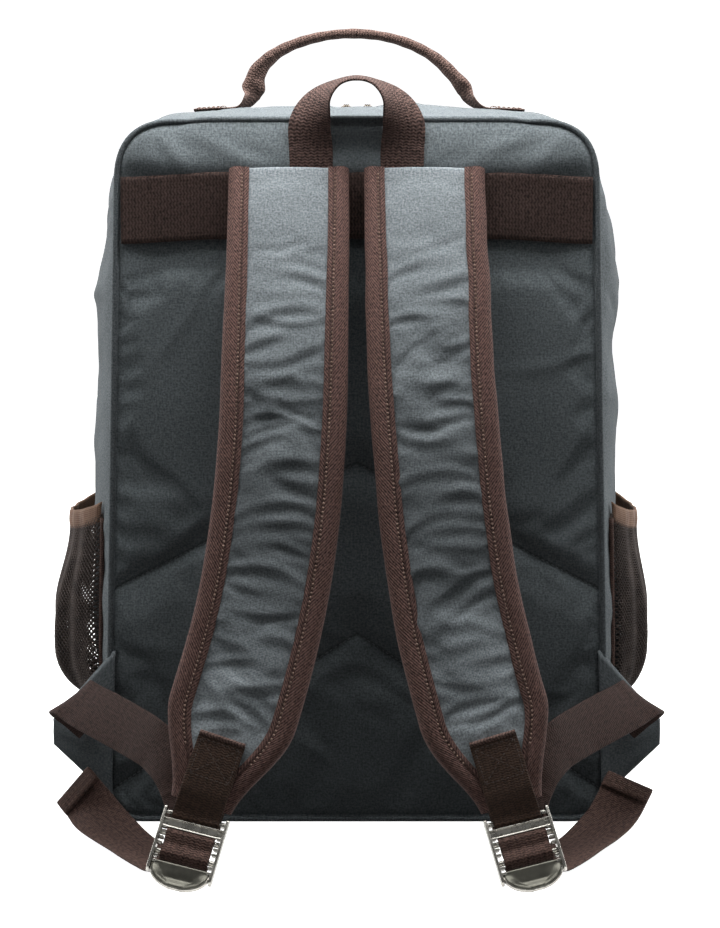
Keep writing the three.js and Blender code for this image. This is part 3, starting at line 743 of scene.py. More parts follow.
ZIP_TAPE = plain_cloth_material("zip_tape", (0.02, 0.017, 0.016), (0.06, 0.05, 0.046), pitch=0.9)
ZIP_TEETH = metal_material("zip_teeth", (0.21, 0.165, 0.12), 0.35)
STEEL = metal_material("plated_steel", (0.4, 0.385, 0.35), 0.24)
SLIDER_METAL = metal_material("slider_metal", (0.16, 0.135, 0.11), 0.4)
# A darker copy of the steel for the thumb plate: a painted dark reflection in its dish.
PLATE_STEEL_PAINTED_REFLECTION = metal_material("dished_steel_painted_reflection", (0.085, 0.083, 0.07), 0.42)
BOARD = board_material("base_board", (0.07, 0.065, 0.055), (0.2, 0.19, 0.165))
DARK_THREAD = thread_material("dark_thread", (0.05, 0.034, 0.028))
BROWN_THREAD = thread_material("brown_thread", (0.19, 0.115, 0.085))
TAPE_THREAD = thread_material("tape_thread", (0.27, 0.175, 0.135))
GREY_THREAD = thread_material("grey_thread", (0.12, 0.132, 0.138))


# ---------------------------------------------------------------- the bag's outline and skin

def outline_table(samples=40):
    """The outline seen from the back, from the middle of the base round to the right."""
    slope = unit(np.array([HALF_TOP - HALF_BASE, SEAM_HEIGHT], float))
    low = np.array([HALF_BASE, 0]) + slope * BASE_CORNER
    high = np.array([HALF_TOP, SEAM_HEIGHT]) - slope * TOP_CORNER
    points = [(x, 0.0) for x in np.linspace(0, HALF_BASE - BASE_CORNER, samples, endpoint=False)]

    def corner(start, middle, end):
        for t in np.linspace(0, 1, samples, endpoint=False):
            points.append(tuple((1 - t) ** 2 * start + 2 * t * (1 - t) * middle + t**2 * end))

    corner(np.array([HALF_BASE - BASE_CORNER, 0.0]), np.array([HALF_BASE, 0.0]), low)
    points.extend(tuple(mix(low, high, t)) for t in np.linspace(0, 1, 2 * samples, endpoint=False))
    top = np.array([HALF_TOP - TOP_CORNER, SEAM_HEIGHT], float)
    corner(high, np.array([HALF_TOP, SEAM_HEIGHT], float), top)
    points.extend((x, float(SEAM_HEIGHT)) for x in np.linspace(top[0], 0, samples + 1))
    right = np.array(points)
    left = right[-2::-1] * [-1, 1]
    return np.concatenate([right, left])


OUTLINE = outline_table()
OUTLINE_LENGTH = travelled(OUTLINE)
OUTLINE_SHARE = OUTLINE_LENGTH / OUTLINE_LENGTH[-1]
AROUND = OUTLINE_LENGTH[-1]


def edge(u):
    """Points on the outline at shares of the way round, and their outward directions."""
    u = np.asarray(u, float)

    def at(share):
        return along_line(share % 1.0, OUTLINE_SHARE, OUTLINE)

    along = unit(at(u + 0.002) - at(u - 0.002))
    return at(u), np.stack([along[..., 1], -along[..., 0]], -1)


def share_at(height):
    """The share of the way round the outline at a height on its right."""
    half = len(OUTLINE) // 2
    return float(np.interp(height, OUTLINE[:half, 1], OUTLINE_SHARE[:half]))


def between_corners(x):
    """1 in the middle of the bag, falling to 0 where its top corners start."""
    return 1 - smoothstep(np.abs(x), *CORNER_SPAN)


def across_top(p):
    """1 where the outline runs level over the top, 0 round its corners and below."""
    return smoothstep(p[..., 1], SEAM_HEIGHT - 4, SEAM_HEIGHT) * between_corners(p[..., 0])


def swell_at(u, y):
    """How far the bag's filled sides and top stand outside the outline of its seams."""
    p, n = edge(u)
    between = np.sin(math.pi * np.clip((y - BACK_Y) / (FRONT_Y - BACK_Y), 0, 1))
    rise = smoothstep(p[..., 1], 10, 120) * (1 - CORNER_PINCH * 2 * np.abs(n[..., 0] * n[..., 1]))
    shoulders = mix(0.25, 1, smoothstep(SEAM_HEIGHT - p[..., 1], 5, 115))
    crest = 1 - 0.35 * smoothstep(np.abs(p[..., 0]), 35, 125)
    sideways = SIDE_SWELL * np.abs(n[..., 0]) * shoulders
    upwards = TOP_SWELL * np.abs(n[..., 1]) * crest
    return (sideways + upwards) * between * rise


def skin(u, y, lift=0.0):
    """Points on the bag's skin at shares round the outline and depths, lifted off it."""
    u, y = np.broadcast_arrays(np.asarray(u, float), np.asarray(y, float))
    p, n = edge(u)
    out = swell_at(u, y) + lift
    return np.stack([p[..., 0] + n[..., 0] * out, y, p[..., 1] + n[..., 1] * out], -1)


def skin_panel(name, u0, u1, y0, y1, steps_u, steps_y, seed, wrinkle, tucked, bulge=None):
    """A canvas strip of the bag's skin, softly creased, with extra bulges if given.

    Its long edges are tucked in at their seams, and so is either end, if tucked says so.
    """
    u, y = grid_of(np.linspace(u0, u1, steps_u + 1), np.linspace(y0, y1, steps_y + 1))
    along = u * AROUND
    lift = wrinkle * (1.1 * ripple(along, y, 95, seed) + 0.5 * ripple(along, y, 34, seed + 1))
    lift += wrinkle * 1.3 * folds(along, y, seed + 2, 60, (0, AROUND), (y0, y1), 26, 4.5, 0.5, 1.3)
    if bulge:
        middle = np.sin(math.pi * (y - y0) / (y1 - y0)) ** 0.7
        height = edge(u)[0][..., 1]
        below_top = smoothstep(SIDE_HIGH - height, 0, 30)
        for centre, spread, rise in bulge:
            lift += rise * middle * np.exp(-(((height - centre) / spread) ** 2)) * below_top
    edge_distance = np.minimum(y - y0, y1 - y)
    if tucked[0]:
        edge_distance = np.minimum(edge_distance, along - u0 * AROUND)
    if tucked[1]:
        edge_distance = np.minimum(edge_distance, u1 * AROUND - along)
    free = smoothstep(edge_distance, 0, 14)
    tuck = 1.6 * (1 - across_top(edge(u)[0]))
    lift = lift * free + 1.2 * free - tuck * (1 - smoothstep(edge_distance, 0, 5))
    uv = np.stack([along, y], -1)
    return thick_sheet(name, skin(u, y, lift - 0.6), 2.0, CANVAS, flip=True, uv=uv, inside=LINING)


# ---------------------------------------------------------------- the bag's panels

QUILT_SEAMS = [[(-154, 145), (0, 226), (154, 145)], [(-160, 16), (0, 119), (160, 16)]]
LID_GAP = 0.15


def half_width(z):
    """Half the outline's width at a height."""
    right = OUTLINE[: len(OUTLINE) // 2]
    side = right[(right[:, 1] > 0) & (right[:, 1] < SEAM_HEIGHT)]
    return np.interp(z, side[:, 1], side[:, 0])


def from_outline(x, z):
    """How far points are inside the outline."""
    p = np.stack([x, z], -1)
    found = np.full(x.shape, 1e9)
    for a, b in zip(OUTLINE[:-1:2], OUTLINE[2::2]):
        found = np.minimum(found, from_segment(p, a, b))
    return found


def from_segment(p, a, b):
    """How far points are from a straight line between two others."""
    a, b = np.asarray(a, float), np.asarray(b, float)
    t = np.clip(((p - a) @ (b - a)) / max((b - a) @ (b - a), 1e-9), 0, 1)
    return np.linalg.norm(p - a - t[..., None] * (b - a), axis=-1)


def from_seams(x, z, seams):
    """How far points are from the nearest of some seams."""
    p = np.stack([x, z], -1)
    found = [from_segment(p, a, b) for seam in seams for a, b in zip(seam[:-1], seam[1:])]
    return np.minimum.reduce(found)


def flat_grid(z0, z1, steps_x, steps_z, inset):
    """Points over the outline between two heights, closer together towards the edges."""
    s = crowded(np.linspace(-1, 1, steps_x + 1))
    t = 0.5 + 0.5 * crowded(np.linspace(-1, 1, steps_z + 1), 0.2)
    low = z0 + (inset if z0 == 0 else 0)
    high = z1 - (inset if z1 == SEAM_HEIGHT else 0)
    s, t = grid_of(s, t)
    z = mix(low, high, t)
    return s * (half_width(z) - inset), z


def back_cover():
    """The padded back panel: crowned, quilted along two inverted Vs and puckered at its seams."""
    x, z = flat_grid(0, SEAM_HEIGHT, 108, 148, 2.2)
    inside = from_outline(x, z)
    seam = from_seams(x, z, QUILT_SEAMS)
    crown = 2.2 * smoothstep(inside, 0, 9) + 1.8 * smoothstep(inside, 8, 80)
    crown *= mix(1, 0.55, smoothstep(z, 330, 400))
    crown += top_pillow(x, z, inside)
    crown -= 2.0 * np.exp(-((seam / 9) ** 2)) * smoothstep(inside, 0, 12)
    crown += 0.55 * ripple(x, z, 80, 31) * smoothstep(inside, 4, 30)
    creases = folds(x, z, 35, 26, (-150, 150), (20, 350), 30, 5, 0.5, 0.05)
    crown += 0.7 * creases * smoothstep(inside, 6, 26)
    crown += corner_creases(x, z) * smoothstep(inside, 2, 14)
    front = np.stack([x, BACK_Y - crown, z], -1)
    pinned = (inside < 4.5) | (seam < 2.2) | (z > 345)
    front = billow(front, pinned, pressure=1.2, growth=0.012, cap=2.6)
    puckers = 0.5 * ripple(x, z, 9, 41) * np.exp(-((seam / 9) ** 2))
    front[..., 1] -= puckers - 1.7 * np.exp(-((seam / 2.6) ** 2)) * smoothstep(inside, 1, 6)
    level = smoothstep(z, 400, 420) * between_corners(x)
    rim = 1 - smoothstep(inside, 2, 9)
    front[..., 1] += 0.9 * (1 - smoothstep(inside, 2, 6)) * (1 - level) + 1.2 * rim**2 * level
    front[..., 2] += 3.0 * rim * level
    back = np.stack([0.985 * x, np.full(x.shape, BACK_Y + 14.0), 3 + 0.985 * z], -1)
    cover = closed_sheet("back_cover", front, back, CANVAS_PANEL_SHADED, uv=np.stack([x, z], -1))
    subdivide(cover)
    place(cover, "bag", "canvas", "back_panel", "back_foam")
    quilt_stitches(x, z, front)


def top_pillow(x, z, inside):
    """Above the band the panel swells out and rolls over to the top."""
    from_side = half_width(np.minimum(z, 400)) - np.abs(x)
    start = mix(398, 384, smoothstep(from_side, 5, 40))
    share = np.clip(inside / 30, 0, 1)
    roll = mix(share, np.sqrt(1 - (1 - share) ** 2), 0.3)
    return 8.4 * roll * smoothstep((z - start) / (414 - start), 0, 1)


def corner_creases(x, z):
    """Slack canvas above the band: folds that run in from the top corners, and dents between them."""
    total = np.zeros(x.shape)
    for side, cx, cz, lean, half_long, rise in (
        (-1, 112, 417, 0.95, 16, 1.6), (-1, 84, 420, 0.5, 20, 1.1), (1, 116, 416, 0.85, 15, 1.3),
        (1, 90, 421, 0.35, 18, 1.2), (1, 60, 412, 0.2, 14, -1.0), (-1, 58, 414, 0.3, 14, -1.0),
    ):
        dx, dz = side * x - cx, z - cz
        along = dx * math.cos(lean) + dz * math.sin(lean)
        across = dz * math.cos(lean) - dx * math.sin(lean)
        total += rise * np.exp(-((along / half_long) ** 2) - ((across / 5.0) ** 2))
    return total


def quilt_stitches(x, z, front):
    """Raised threads along the quilted seams of the back panel."""
    lines = []
    for seam in QUILT_SEAMS:
        for a, b in zip(seam[:-1], seam[1:]):
            t = np.linspace(0.02, 0.98, 160)[:, None]
            p = mix(np.array(a, float), np.array(b, float), t)
            keep = np.abs(p[:, 0]) < half_width(p[:, 1]) - 4
            p = p[keep]
            y = surface_at(p[:, 0], p[:, 1], x, z, front[..., 1])
            line = np.stack([p[:, 0], y - 0.1, p[:, 1]], -1)
            lines.append((line, np.array([0, -1.0, 0])))
    place(stitches("quilt_stitches", lines, GREY_THREAD, 3.4, 2.5, 0.3), "bag", "canvas")


def surface_at(px, pz, x, z, height):
    """The height of a grid's nearest points, weighted by how near they are."""
    found = []
    for a, b in zip(px, pz):
        d = (x - a) ** 2 + (z - b) ** 2
        nearest = np.argpartition(d.ravel(), 4)[:4]
        weight = 1 / (d.ravel()[nearest] + 0.2)
        found.append(float((height.ravel()[nearest] * weight).sum() / weight.sum()))
    return np.array(found)


def front_cloth(name, z0, z1, seed, node, body):
    """A front panel with soft creases, its outside towards +Y."""
    x, z = flat_grid(z0, z1, 70, max(24, int((z1 - z0) / 4.4)), 2.2)
    inside = np.minimum(from_outline(x, z), np.minimum(z - z0, z1 - z) * 3 + 2)
    lift = 2.6 * smoothstep(inside, 0, 14) + 0.8 * ripple(x, z, 90, seed) * smoothstep(inside, 4, 30)
    creases = folds(x, z, seed + 1, 14, (-150, 150), (z0, z1), 34, 6, 0.5, 0.1)
    lift += 0.9 * creases * smoothstep(inside, 6, 26)
    front = np.stack([x, FRONT_Y - 1.6 + lift * 0.8, z], -1)
    cloth = thick_sheet(name, front, 2.2, CANVAS, flip=True, uv=np.stack([x, z], -1), inside=LINING)
    subdivide(cloth)
    place(cloth, body, "canvas", node)


SIDE_BULGES = {"right": [(352, 40, 3.5), (296, 17, -3.0), (262, 26, 1.0), (218, 22, -2.5)],
               "left": [(372, 22, -2.0), (330, 16, 2.0), (285, 14, -2.0), (240, 22, 1.5)]}


def bag_panels():
    """The sides, top and base behind the zip, and the gusset and panels in front of it."""
    side_low, side_high = share_at(SIDE_LOW), share_at(SIDE_HIGH)
    lid_low, root_high = share_at(LID_Z + LID_GAP), share_at(LID_Z - LID_GAP)
    rear = (BACK_Y - 0.6, ZIP_Y - 4.2)
    for name, u0, u1, steps, wrinkle, tucked in (
        ("side_cloth_right", side_low, side_high, 120, 1.0, (True, False)),
        ("side_cloth_left", 1 - side_high, 1 - side_low, 120, 1.0, (False, True)),
        ("top_cloth", side_high, 1 - side_high, 96, 1.0, (False, False)),
        ("base_cloth", -side_low, side_low, 90, 0.35, (True, True)),
    ):
        bulge = SIDE_BULGES.get(name.replace("side_cloth_", ""))
        cloth = skin_panel(name, u0, u1, *rear, steps, 28, 51, wrinkle, tucked, bulge)
        subdivide(cloth)
        place(cloth, "bag", "canvas", name.replace("cloth", "panel"))
    lower = skin_panel("front_gusset_lower_cloth", -root_high, root_high, ZIP_Y - 4.1, FRONT_Y - 0.8,
                       120, 10, 91, 0.35, (False, False))
    place(lower, "bag", "canvas", "front_gusset_lower")
    lid = skin_panel("lid_gusset_cloth", lid_low, 1 - lid_low, ZIP_Y + 4.2, FRONT_Y - 0.8,
                     200, 10, 95, 0.35, (False, False))
    place(lid, "lid", "canvas", "lid_gusset")
    front_cloth("front_cloth_lower", 0, LID_Z - LID_GAP, 101, "front_panel_lower", "bag")
    front_cloth("front_cloth", LID_Z + LID_GAP, SEAM_HEIGHT, 105, "front_panel", "lid")


def lid_hinge():
    """The cloth that the lid folds on: a strip sewn over the seam between the two front panels."""
    s, z = grid_of(np.linspace(-1, 1, 61), np.linspace(LID_Z - 9, LID_Z + 9, 13))
    across = s * (half_width(z) - 1.5)
    y = FRONT_Y + 2.0 + 0.4 * np.cos(math.pi * (z - LID_Z) / 18) + 0.2 * ripple(across, z, 30, 7)
    y -= 2.6 * smoothstep(np.abs(s), 0.97, 1)
    strip = thick_sheet("lid_hinge_strip", np.stack([across, y, z], -1), 1.2, CANVAS, flip=True,
                        uv=np.stack([z, across], -1))
    place(strip, None, "canvas")
    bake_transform(strip)


def piping(name, u0, u1, y, body, node, closed):
    """A covered cord round the outline, which gives way across the top to a roll of the canvas itself."""
    u = np.linspace(u0, u1, 360, endpoint=not closed)
    p, n = edge(u)
    centre = np.stack([p[:, 0] - n[:, 0] * 1.1, np.full(len(u), float(y)), p[:, 1] - n[:, 1] * 1.1], -1)
    level = across_top(p)
    # The cord is made of the darker piping canvas, as painted shade along the seam.
    cord = tube(name, centre, mix(1.8, 0.3, level), CANVAS_SEAM_SHADE, 10, closed)
    top = level > 0
    raised = centre[top] + np.array([0, 0.6, 1.4]) * level[top, None]
    roll = tube(name, raised, 0.3 + 1.9 * level[top] ** 0.5, CANVAS, 12)
    place(join(name, [cord, roll]), body, "canvas", node)


def inner_parts():
    """The lining, and the laptop sleeve with its bound edge."""
    u, y = grid_of(np.linspace(0, 1, 180, endpoint=False), np.linspace(BACK_Y + 15, ZIP_Y - 5, 14))
    sag = 0.8 * ripple(u * AROUND, y, 70, 111)
    front = skin(u, y, sag - 5.4)
    lining = thick_sheet("lining_cloth", front, 1.0, LINING, ring=True, uv=np.stack([u * AROUND, y], -1))
    place(lining, "bag", "lining", "lining")
    sleeve()


def rounded_half(z, half, low, high, corner):
    """Half the width, at a height, of a rectangle with rounded corners."""
    near = np.clip(corner - np.minimum(z - low, high - z), 0, corner)
    return half - corner + np.sqrt(np.maximum(corner**2 - near**2, 0))


def rounded_panel(half, low, high, corner, steps_x, steps_z):
    """Points over a rectangle with rounded corners."""
    s, t = grid_of(crowded(np.linspace(-1, 1, steps_x + 1)), np.linspace(0, 1, steps_z + 1))
    z = mix(low, high, t)
    return s * rounded_half(z, half, low, high, corner), z


def sleeve():
    """A padded pocket for a laptop against the back, bound along its top."""
    x, z = rounded_panel(137, 10.5, 302, 12, 46, 50)
    inside = np.minimum.reduce([137 - np.abs(x), z - 10.5, 302 - z])
    crown = 2.2 * smoothstep(inside, 0, 40) + 0.4 * ripple(x, z, 60, 121) * smoothstep(inside, 2, 20)
    front = np.stack([x, BACK_Y + 26.5 + crown, z], -1)
    back = np.stack([x, BACK_Y + 25.5 - 0.8 * crown, z], -1)
    pad = closed_sheet("sleeve_pad", front, back, LINING, uv=np.stack([x, z], -1))
    place(pad, "bag", "lining", "laptop_sleeve")
    section = [
        [-5, 2.6], [5, 2.9], [6.4, 1.6], [6.4, -1.6], [5, -2.9],
        [-5, -2.6], [-5, -1.9], [4.2, -1.9], [4.2, 1.9], [-5, 1.9],
    ]
    tape = straight_strip("sleeve_tape", 134, BACK_Y + 26.0, 301.5, 60, section, TAPE, sharp=60)
    place(tape, "bag", "tape", "sleeve_binding")


def straight_strip(name, reach, y, z, count, section, material, **extra):
    """A section carried straight across the bag, its width upright and its face to the front."""
    x = np.linspace(-reach, reach, count)
    centre = np.stack([x, np.full(count, float(y)), np.full(count, float(z))], -1)
    across = np.tile([0, 0, 1.0], (count, 1))
    out = np.tile([0, 1.0, 0], (count, 1))
    return loft(name, centre, across, out, section, material, **extra)


# ---------------------------------------------------------------- zips

ZIP_PITCH = 2.7


def zip_run(name, u0, u1, y, side, body, node):
    """Half a coil zip round the gusset: a woven tape with a row of teeth along its inner edge."""
    count = int((u1 - u0) * AROUND / 5)
    u, v = grid_of(np.linspace(u0, u1, count + 1), np.linspace(0, 1, 5))
    depth = y + side * mix(0.5, 5.2, v)
    wave = 0.25 * ripple(u * AROUND, depth, 40, 131)
    front = skin(u, depth, mix(0.9 + wave, -1.9, v**2))
    uv = np.stack([u * AROUND, depth], -1)
    tape = thick_sheet(name, front, 1.1, ZIP_TAPE, flip=True, uv=uv)
    teeth = zip_teeth(name + "_teeth", u0, u1, y, side)
    place(join(name, [tape, teeth]), body, "tape", node)


def zip_teeth(name, u0, u1, y, side):
    """One side's teeth, set half a step on from the other side's."""
    count = int((u1 - u0) * AROUND / ZIP_PITCH)
    shift = 0.5 if side > 0 else 0.0
    share = u0 + (np.arange(count) + shift) / count * (u1 - u0)
    centre = skin(share, y + side * 0.55, 1.55)
    _, n = edge(share)
    out = np.stack([n[:, 0], np.zeros(count), n[:, 1]], -1)
    along = np.stack([-n[:, 1], np.zeros(count), n[:, 0]], -1)
    return tooth_row(name, centre, along, out, np.array([0, 1.0, 0]))


def tooth_row(name, centre, along, out, across):
    """Small bevelled blocks at the given places."""
    points, faces = [], []
    across = np.broadcast_to(across, centre.shape)
    for c, a, o, w in zip(centre, along, out, across):
        base = len(points)
        for lift, wide, long in ((-0.8, 1.5, 0.72), (0.35, 1.5, 0.72), (0.75, 1.15, 0.42)):
            for sx, sy in ((-1, -1), (1, -1), (1, 1), (-1, 1)):
                points.append(c + o * lift + w * sx * wide + a * sy * long)
        for i in range(2):
            for q in range(4):
                m = (q + 1) % 4
                faces.append((base + 4 * i + q, base + 4 * i + m, base + 4 * i + 4 + m, base + 4 * i + 4 + q))
        faces.append(tuple(base + q for q in (3, 2, 1, 0)))
        faces.append(tuple(base + 8 + q for q in range(4)))
    uv = np.zeros((len(points), 2))
    return make_object(name, points, orient(np.array(points), faces), ZIP_TEETH, uv, smooth=False)


def main_zips():
    low = share_at(LID_Z + 2)
    zip_run("zip_rear", low, 1 - low, ZIP_Y, -1, "bag", "zip_tape_rear")
    zip_run("zip_lid", low, 1 - low, ZIP_Y, 1, "lid", "zip_tape_lid")


# ---------------------------------------------------------------- front pocket

POCKET_HALF = 116
POCKET_LOW = 138
POCKET_HIGH = 396
POCKET_ZIP = 350
POCKET_CORNER = 30


def pocket_part(name, z0, z1, node, seed, rows):
    """The pocket's cloth below or above its zip. Returns the grid of its face."""
    s, t = grid_of(crowded(np.linspace(-1, 1, 61)), np.linspace(0, 1, rows))
    z = mix(z0, z1, t)
    half = rounded_half(z, POCKET_HALF, POCKET_LOW, POCKET_HIGH, POCKET_CORNER)
    x = s * half
    from_zip = np.abs(z - POCKET_ZIP) * 1.2
    inside = np.minimum.reduce([half - np.abs(x), z - POCKET_LOW, POCKET_HIGH - z, from_zip])
    lift = 2.0 * smoothstep(inside, 0, 12) + 2.2 * smoothstep(inside, 5, 70) + 0.6 * ripple(x, z, 75, seed)
    creases = folds(x, z, seed + 1, 12, (-110, 110), (z0, z1), 30, 6, 0.5, 0.1)
    lift += 0.8 * creases * smoothstep(inside, 6, 26)
    front = np.stack([x, FRONT_Y + 2.1 + lift, z], -1)
    back = np.stack([x, FRONT_Y + 1.2 + 0.35 * lift, z], -1)
    cloth = closed_sheet(name, front, back, CANVAS, uv=np.stack([x, z], -1))
    subdivide(cloth)
    place(cloth, "lid", "canvas", node)
    return front


def front_pocket():
    lower = pocket_part("pocket_cloth_lower", POCKET_LOW, POCKET_ZIP - 3.6, "pocket_face_lower", 141, 60)
    upper = pocket_part("pocket_cloth_upper", POCKET_ZIP + 3.6, POCKET_HIGH, "pocket_face_upper", 151, 16)
    lines = []
    for front, outer_column, zip_column in ((lower, 2, -2), (upper, -3, 1)):
        face = front + np.array([0, 0.15, 0])
        border = [face[3], face[-4], face[3:-3, outer_column], face[3:-3, zip_column]]
        lines += [(line, np.array([0, 1.0, 0])) for line in border]
    place(stitches("pocket_stitches", lines, GREY_THREAD, 3.4, 2.5, 0.3), "lid", "canvas")
    section = strip_section(8.4, 1.3)
    tape = straight_strip("pocket_zip", POCKET_HALF - 1.5, FRONT_Y + 1.5, POCKET_ZIP, 80, section, ZIP_TAPE)
    rows = []
    for side in (-1, 1):
        count = int(2 * (POCKET_HALF - 6) / ZIP_PITCH)
        along = np.linspace(-POCKET_HALF + 6, POCKET_HALF - 6, count) + side * ZIP_PITCH / 4
        height = np.full(count, POCKET_ZIP + side * 0.5)
        centre = np.stack([along, np.full(count, FRONT_Y + 2.4), height], -1)
        right = np.tile([1.0, 0, 0], (count, 1))
        out = np.tile([0, 1.0, 0], (count, 1))
        rows.append(tooth_row("teeth", centre, right, out, np.array([0, 0, 0.9])))
    place(join("pocket_zip", [tape, *rows]), "lid", "tape", "pocket_zip_tape")


# ---------------------------------------------------------------- sliders and pulls

def bevelled_outline(name, outline, z0, z1, bevel, material, frame_at, holes=(), sharp=35):
    """A plate with rounded edges: an outline of [x, y] points carried from z0 to z1.

    It is set in a frame, which is a pair: an origin and three axes as rows.
    """
    bm = bmesh.new()
    edges = []
    for loop in (outline, *holes):
        verts = [bm.verts.new((x, y, z0)) for x, y in loop]
        edges += [bm.edges.new((verts[k], verts[(k + 1) % len(verts)])) for k in range(len(verts))]
    bmesh.ops.triangle_fill(bm, use_beauty=True, edges=edges)
    bmesh.ops.dissolve_limit(bm, angle_limit=0.01, verts=bm.verts, edges=bm.edges)
    extruded = bmesh.ops.extrude_face_region(bm, geom=bm.faces[:])
    moved = [v for v in extruded["geom"] if isinstance(v, bmesh.types.BMVert)]
    bmesh.ops.translate(bm, verts=moved, vec=(0, 0, z1 - z0))
    bmesh.ops.recalc_face_normals(bm, faces=bm.faces)
    rim = [e for e in bm.edges if len(e.link_faces) == 2 and e.calc_face_angle(0) > 0.9
           and abs(e.verts[0].co.z - e.verts[1].co.z) < 1e-6]
    bmesh.ops.bevel(bm, geom=rim, offset=bevel, segments=3, profile=0.5, affect="EDGES")
    bm.verts.index_update()
    points = np.array([v.co[:] for v in bm.verts])
    faces = [tuple(v.index for v in f.verts) for f in bm.faces]
    bm.free()
    origin, axes = frame_at
    points = origin + points @ np.asarray(axes, float)
    return make_object(name, points, orient(points, faces), material, points[:, :2], True, sharp)


def arc(cx, cy, rx, ry, start, end, steps):
    """Points on part of an ellipse, from one angle to another in degrees."""
    angle = np.radians(np.linspace(start, end, steps + 1))
    return [(cx + rx * math.cos(a), cy + ry * math.sin(a)) for a in angle]


def slider(name, origin, axes, body, node):
    """A cast zip slider: a waisted shell on flanges, with a bridge for its pull. x is its travel."""
    shell = [*arc(3.4, 0, 2.1, 4.3, -90, 90, 10), *arc(-3.4, 0, 2.1, 3.3, 90, 270, 10)]
    crown = [(0.86 * a, 0.8 * b) for a, b in shell]
    parts = [
        bevelled_outline(name, shell, 0.2, 1.4, 0.4, SLIDER_METAL, (origin, axes)),
        bevelled_outline(name, crown, 1.3, 3.0, 0.5, SLIDER_METAL, (origin, axes)),
    ]
    angle = np.linspace(0, math.pi, 14)
    bridge = np.stack([-4.3 * np.cos(angle), np.zeros(14), 2.5 + 4.2 * np.sin(angle) ** 0.7], -1)
    bridge = origin + bridge @ np.asarray(axes, float)
    parts.append(tube(name, bridge, 0.85, SLIDER_METAL, 8))
    place(join(name, parts), body, "metal", node)


def pull(name, origin, axes, body, node):
    """A flat pull: an eye round the slider's bridge, a neck and a blade with a pierced end."""
    blade = [(-1.9, 2.6), (1.9, 2.6), (2.4, 6.5), *arc(0, 20.4, 3.5, 3.6, 0, 180, 14), (-2.4, 6.5)]
    hole = arc(0, 19.6, 1.7, 2.2, 0, 360, 15)[:-1]
    rise = 5.8
    flat = bevelled_outline(name, blade, rise - 0.8, rise + 0.8, 0.3, SLIDER_METAL, (origin, axes), (hole,))
    angle = np.linspace(0, math.tau, 20, endpoint=False)
    eye = np.stack([np.zeros(20), 1.85 * np.cos(angle) + 0.3, rise + 1.85 * np.sin(angle)], -1)
    rings = []
    for x in (-1.3, 0, 1.3):
        line = origin + (eye + [x, 0, 0]) @ np.asarray(axes, float)
        rings.append(tube(name, line, 0.66, SLIDER_METAL, 8, True))
    place(join(name, [flat, *rings]), body, "metal", node)


def zip_pullers():
    top = float(skin(0.5, ZIP_Y)[2]) + 1.5
    upright = np.eye(3)
    facing = np.array([[1.0, 0, 0], [0, 0, -1.0], [0, 1.0, 0]])
    for name, x, y, z, axes, ids in (
        ("right", 7, ZIP_Y, top, upright, ("slider_body_right", "pull_body_right")),
        ("left", -7, ZIP_Y, top, upright, ("slider_body_left", "pull_body_left")),
        ("pocket", -96, FRONT_Y + 3.2, POCKET_ZIP, facing, ("pocket_slider_body", "pocket_pull_body")),
    ):
        origin = np.array([x, y, z], float)
        slider(f"slider_detail_{name}", origin, axes, ids[0], f"slider_{name}")
        pull(f"pull_detail_{name}", origin, axes, ids[1], f"pull_{name}")


# ---------------------------------------------------------------- handle, hang loop, luggage band

def off(distance):
    """The depth of a point some distance in front of the back panel."""
    return BACK_Y - distance


def top_height(x):
    """The height of the bag's top under the handle."""
    u = np.linspace(share_at(SIDE_HIGH), 1 - share_at(SIDE_HIGH), 400)
    p = skin(u, HANDLE_Y)
    return np.interp(x, p[::-1, 0], p[::-1, 2])


def grab_handle():
    """Webbing sewn flat at both ends and folded in half between them, twisted a little at its feet."""
    flat = (0, 1.0, 0)
    stops = [
        (-104, 0, flat), (-90, 0, flat), (-76, 0, flat), (-68.5, 455, (0.3, 0.95, 0)),
        (-66.5, 461.5, (0.9, 0.4, 0)), (-63.5, 472, (0.8, 0.6, 0)), (-51, 484, (0.2, 0.98, 0)),
        (-28, 493, flat), (0, 496, flat), (28, 491.5, flat), (49, 481.5, flat),
        (62, 469.5, (-0.3, 0.95, 0)), (69, 461, (-0.6, 0.8, 0)), (72.5, 454.6, (-0.2, 0.98, 0)),
        (81, 0, flat), (94, 0, flat), (107, 0, flat),
    ]
    points = [[x, HANDLE_Y, z or float(top_height(x)) + 1.7] for x, z, _ in stops]
    centres, across, out, _ = frames_along(points, [w for _, _, w in stops], 170)
    x, z = centres[:, 0], centres[:, 2]
    lifted = smoothstep(z, 455, 466)
    thick = mix(0.9, mix(3.0, 3.9, smoothstep(np.abs(x), 20, 66)), lifted)
    wide = mix(14.0, mix(8.2, 6.4, smoothstep(z, 460, 476)), smoothstep(z, 452.5, 459))
    angle = np.linspace(0, math.tau, 20, endpoint=False)
    square = np.sign(np.cos(angle)) * np.abs(np.cos(angle)) ** 0.35
    section = []
    for k in range(len(centres)):
        crease = 1 - 0.1 * lifted[k] * np.exp(-((np.sin(angle) / 0.3) ** 2))
        wobble = 1 + 0.03 * math.sin(0.31 * k) + 0.03 * math.sin(0.83 * k + 1)
        side = mix(square, np.cos(angle) * crease, lifted[k])
        section.append(np.stack([side * wide[k] * wobble, np.sin(angle) * thick[k] * wobble], -1))
    around = np.linspace(0, 44, 20, endpoint=False)
    strap = loft("grab_strap", centres, across, out, section, HANDLE_WEBBING_LIT, across_uv=around, sharp=75)
    boxes = [*box_stitch(-102, -84), *box_stitch(86, 105)]
    place(stitches("handle_stitches", boxes, BROWN_THREAD, 3.0, 2.2, 0.3), "bag", "webbing")
    place(strap, None, "webbing", "grab_handle", "handle_tab_left", "handle_tab_right")
    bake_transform(strap)


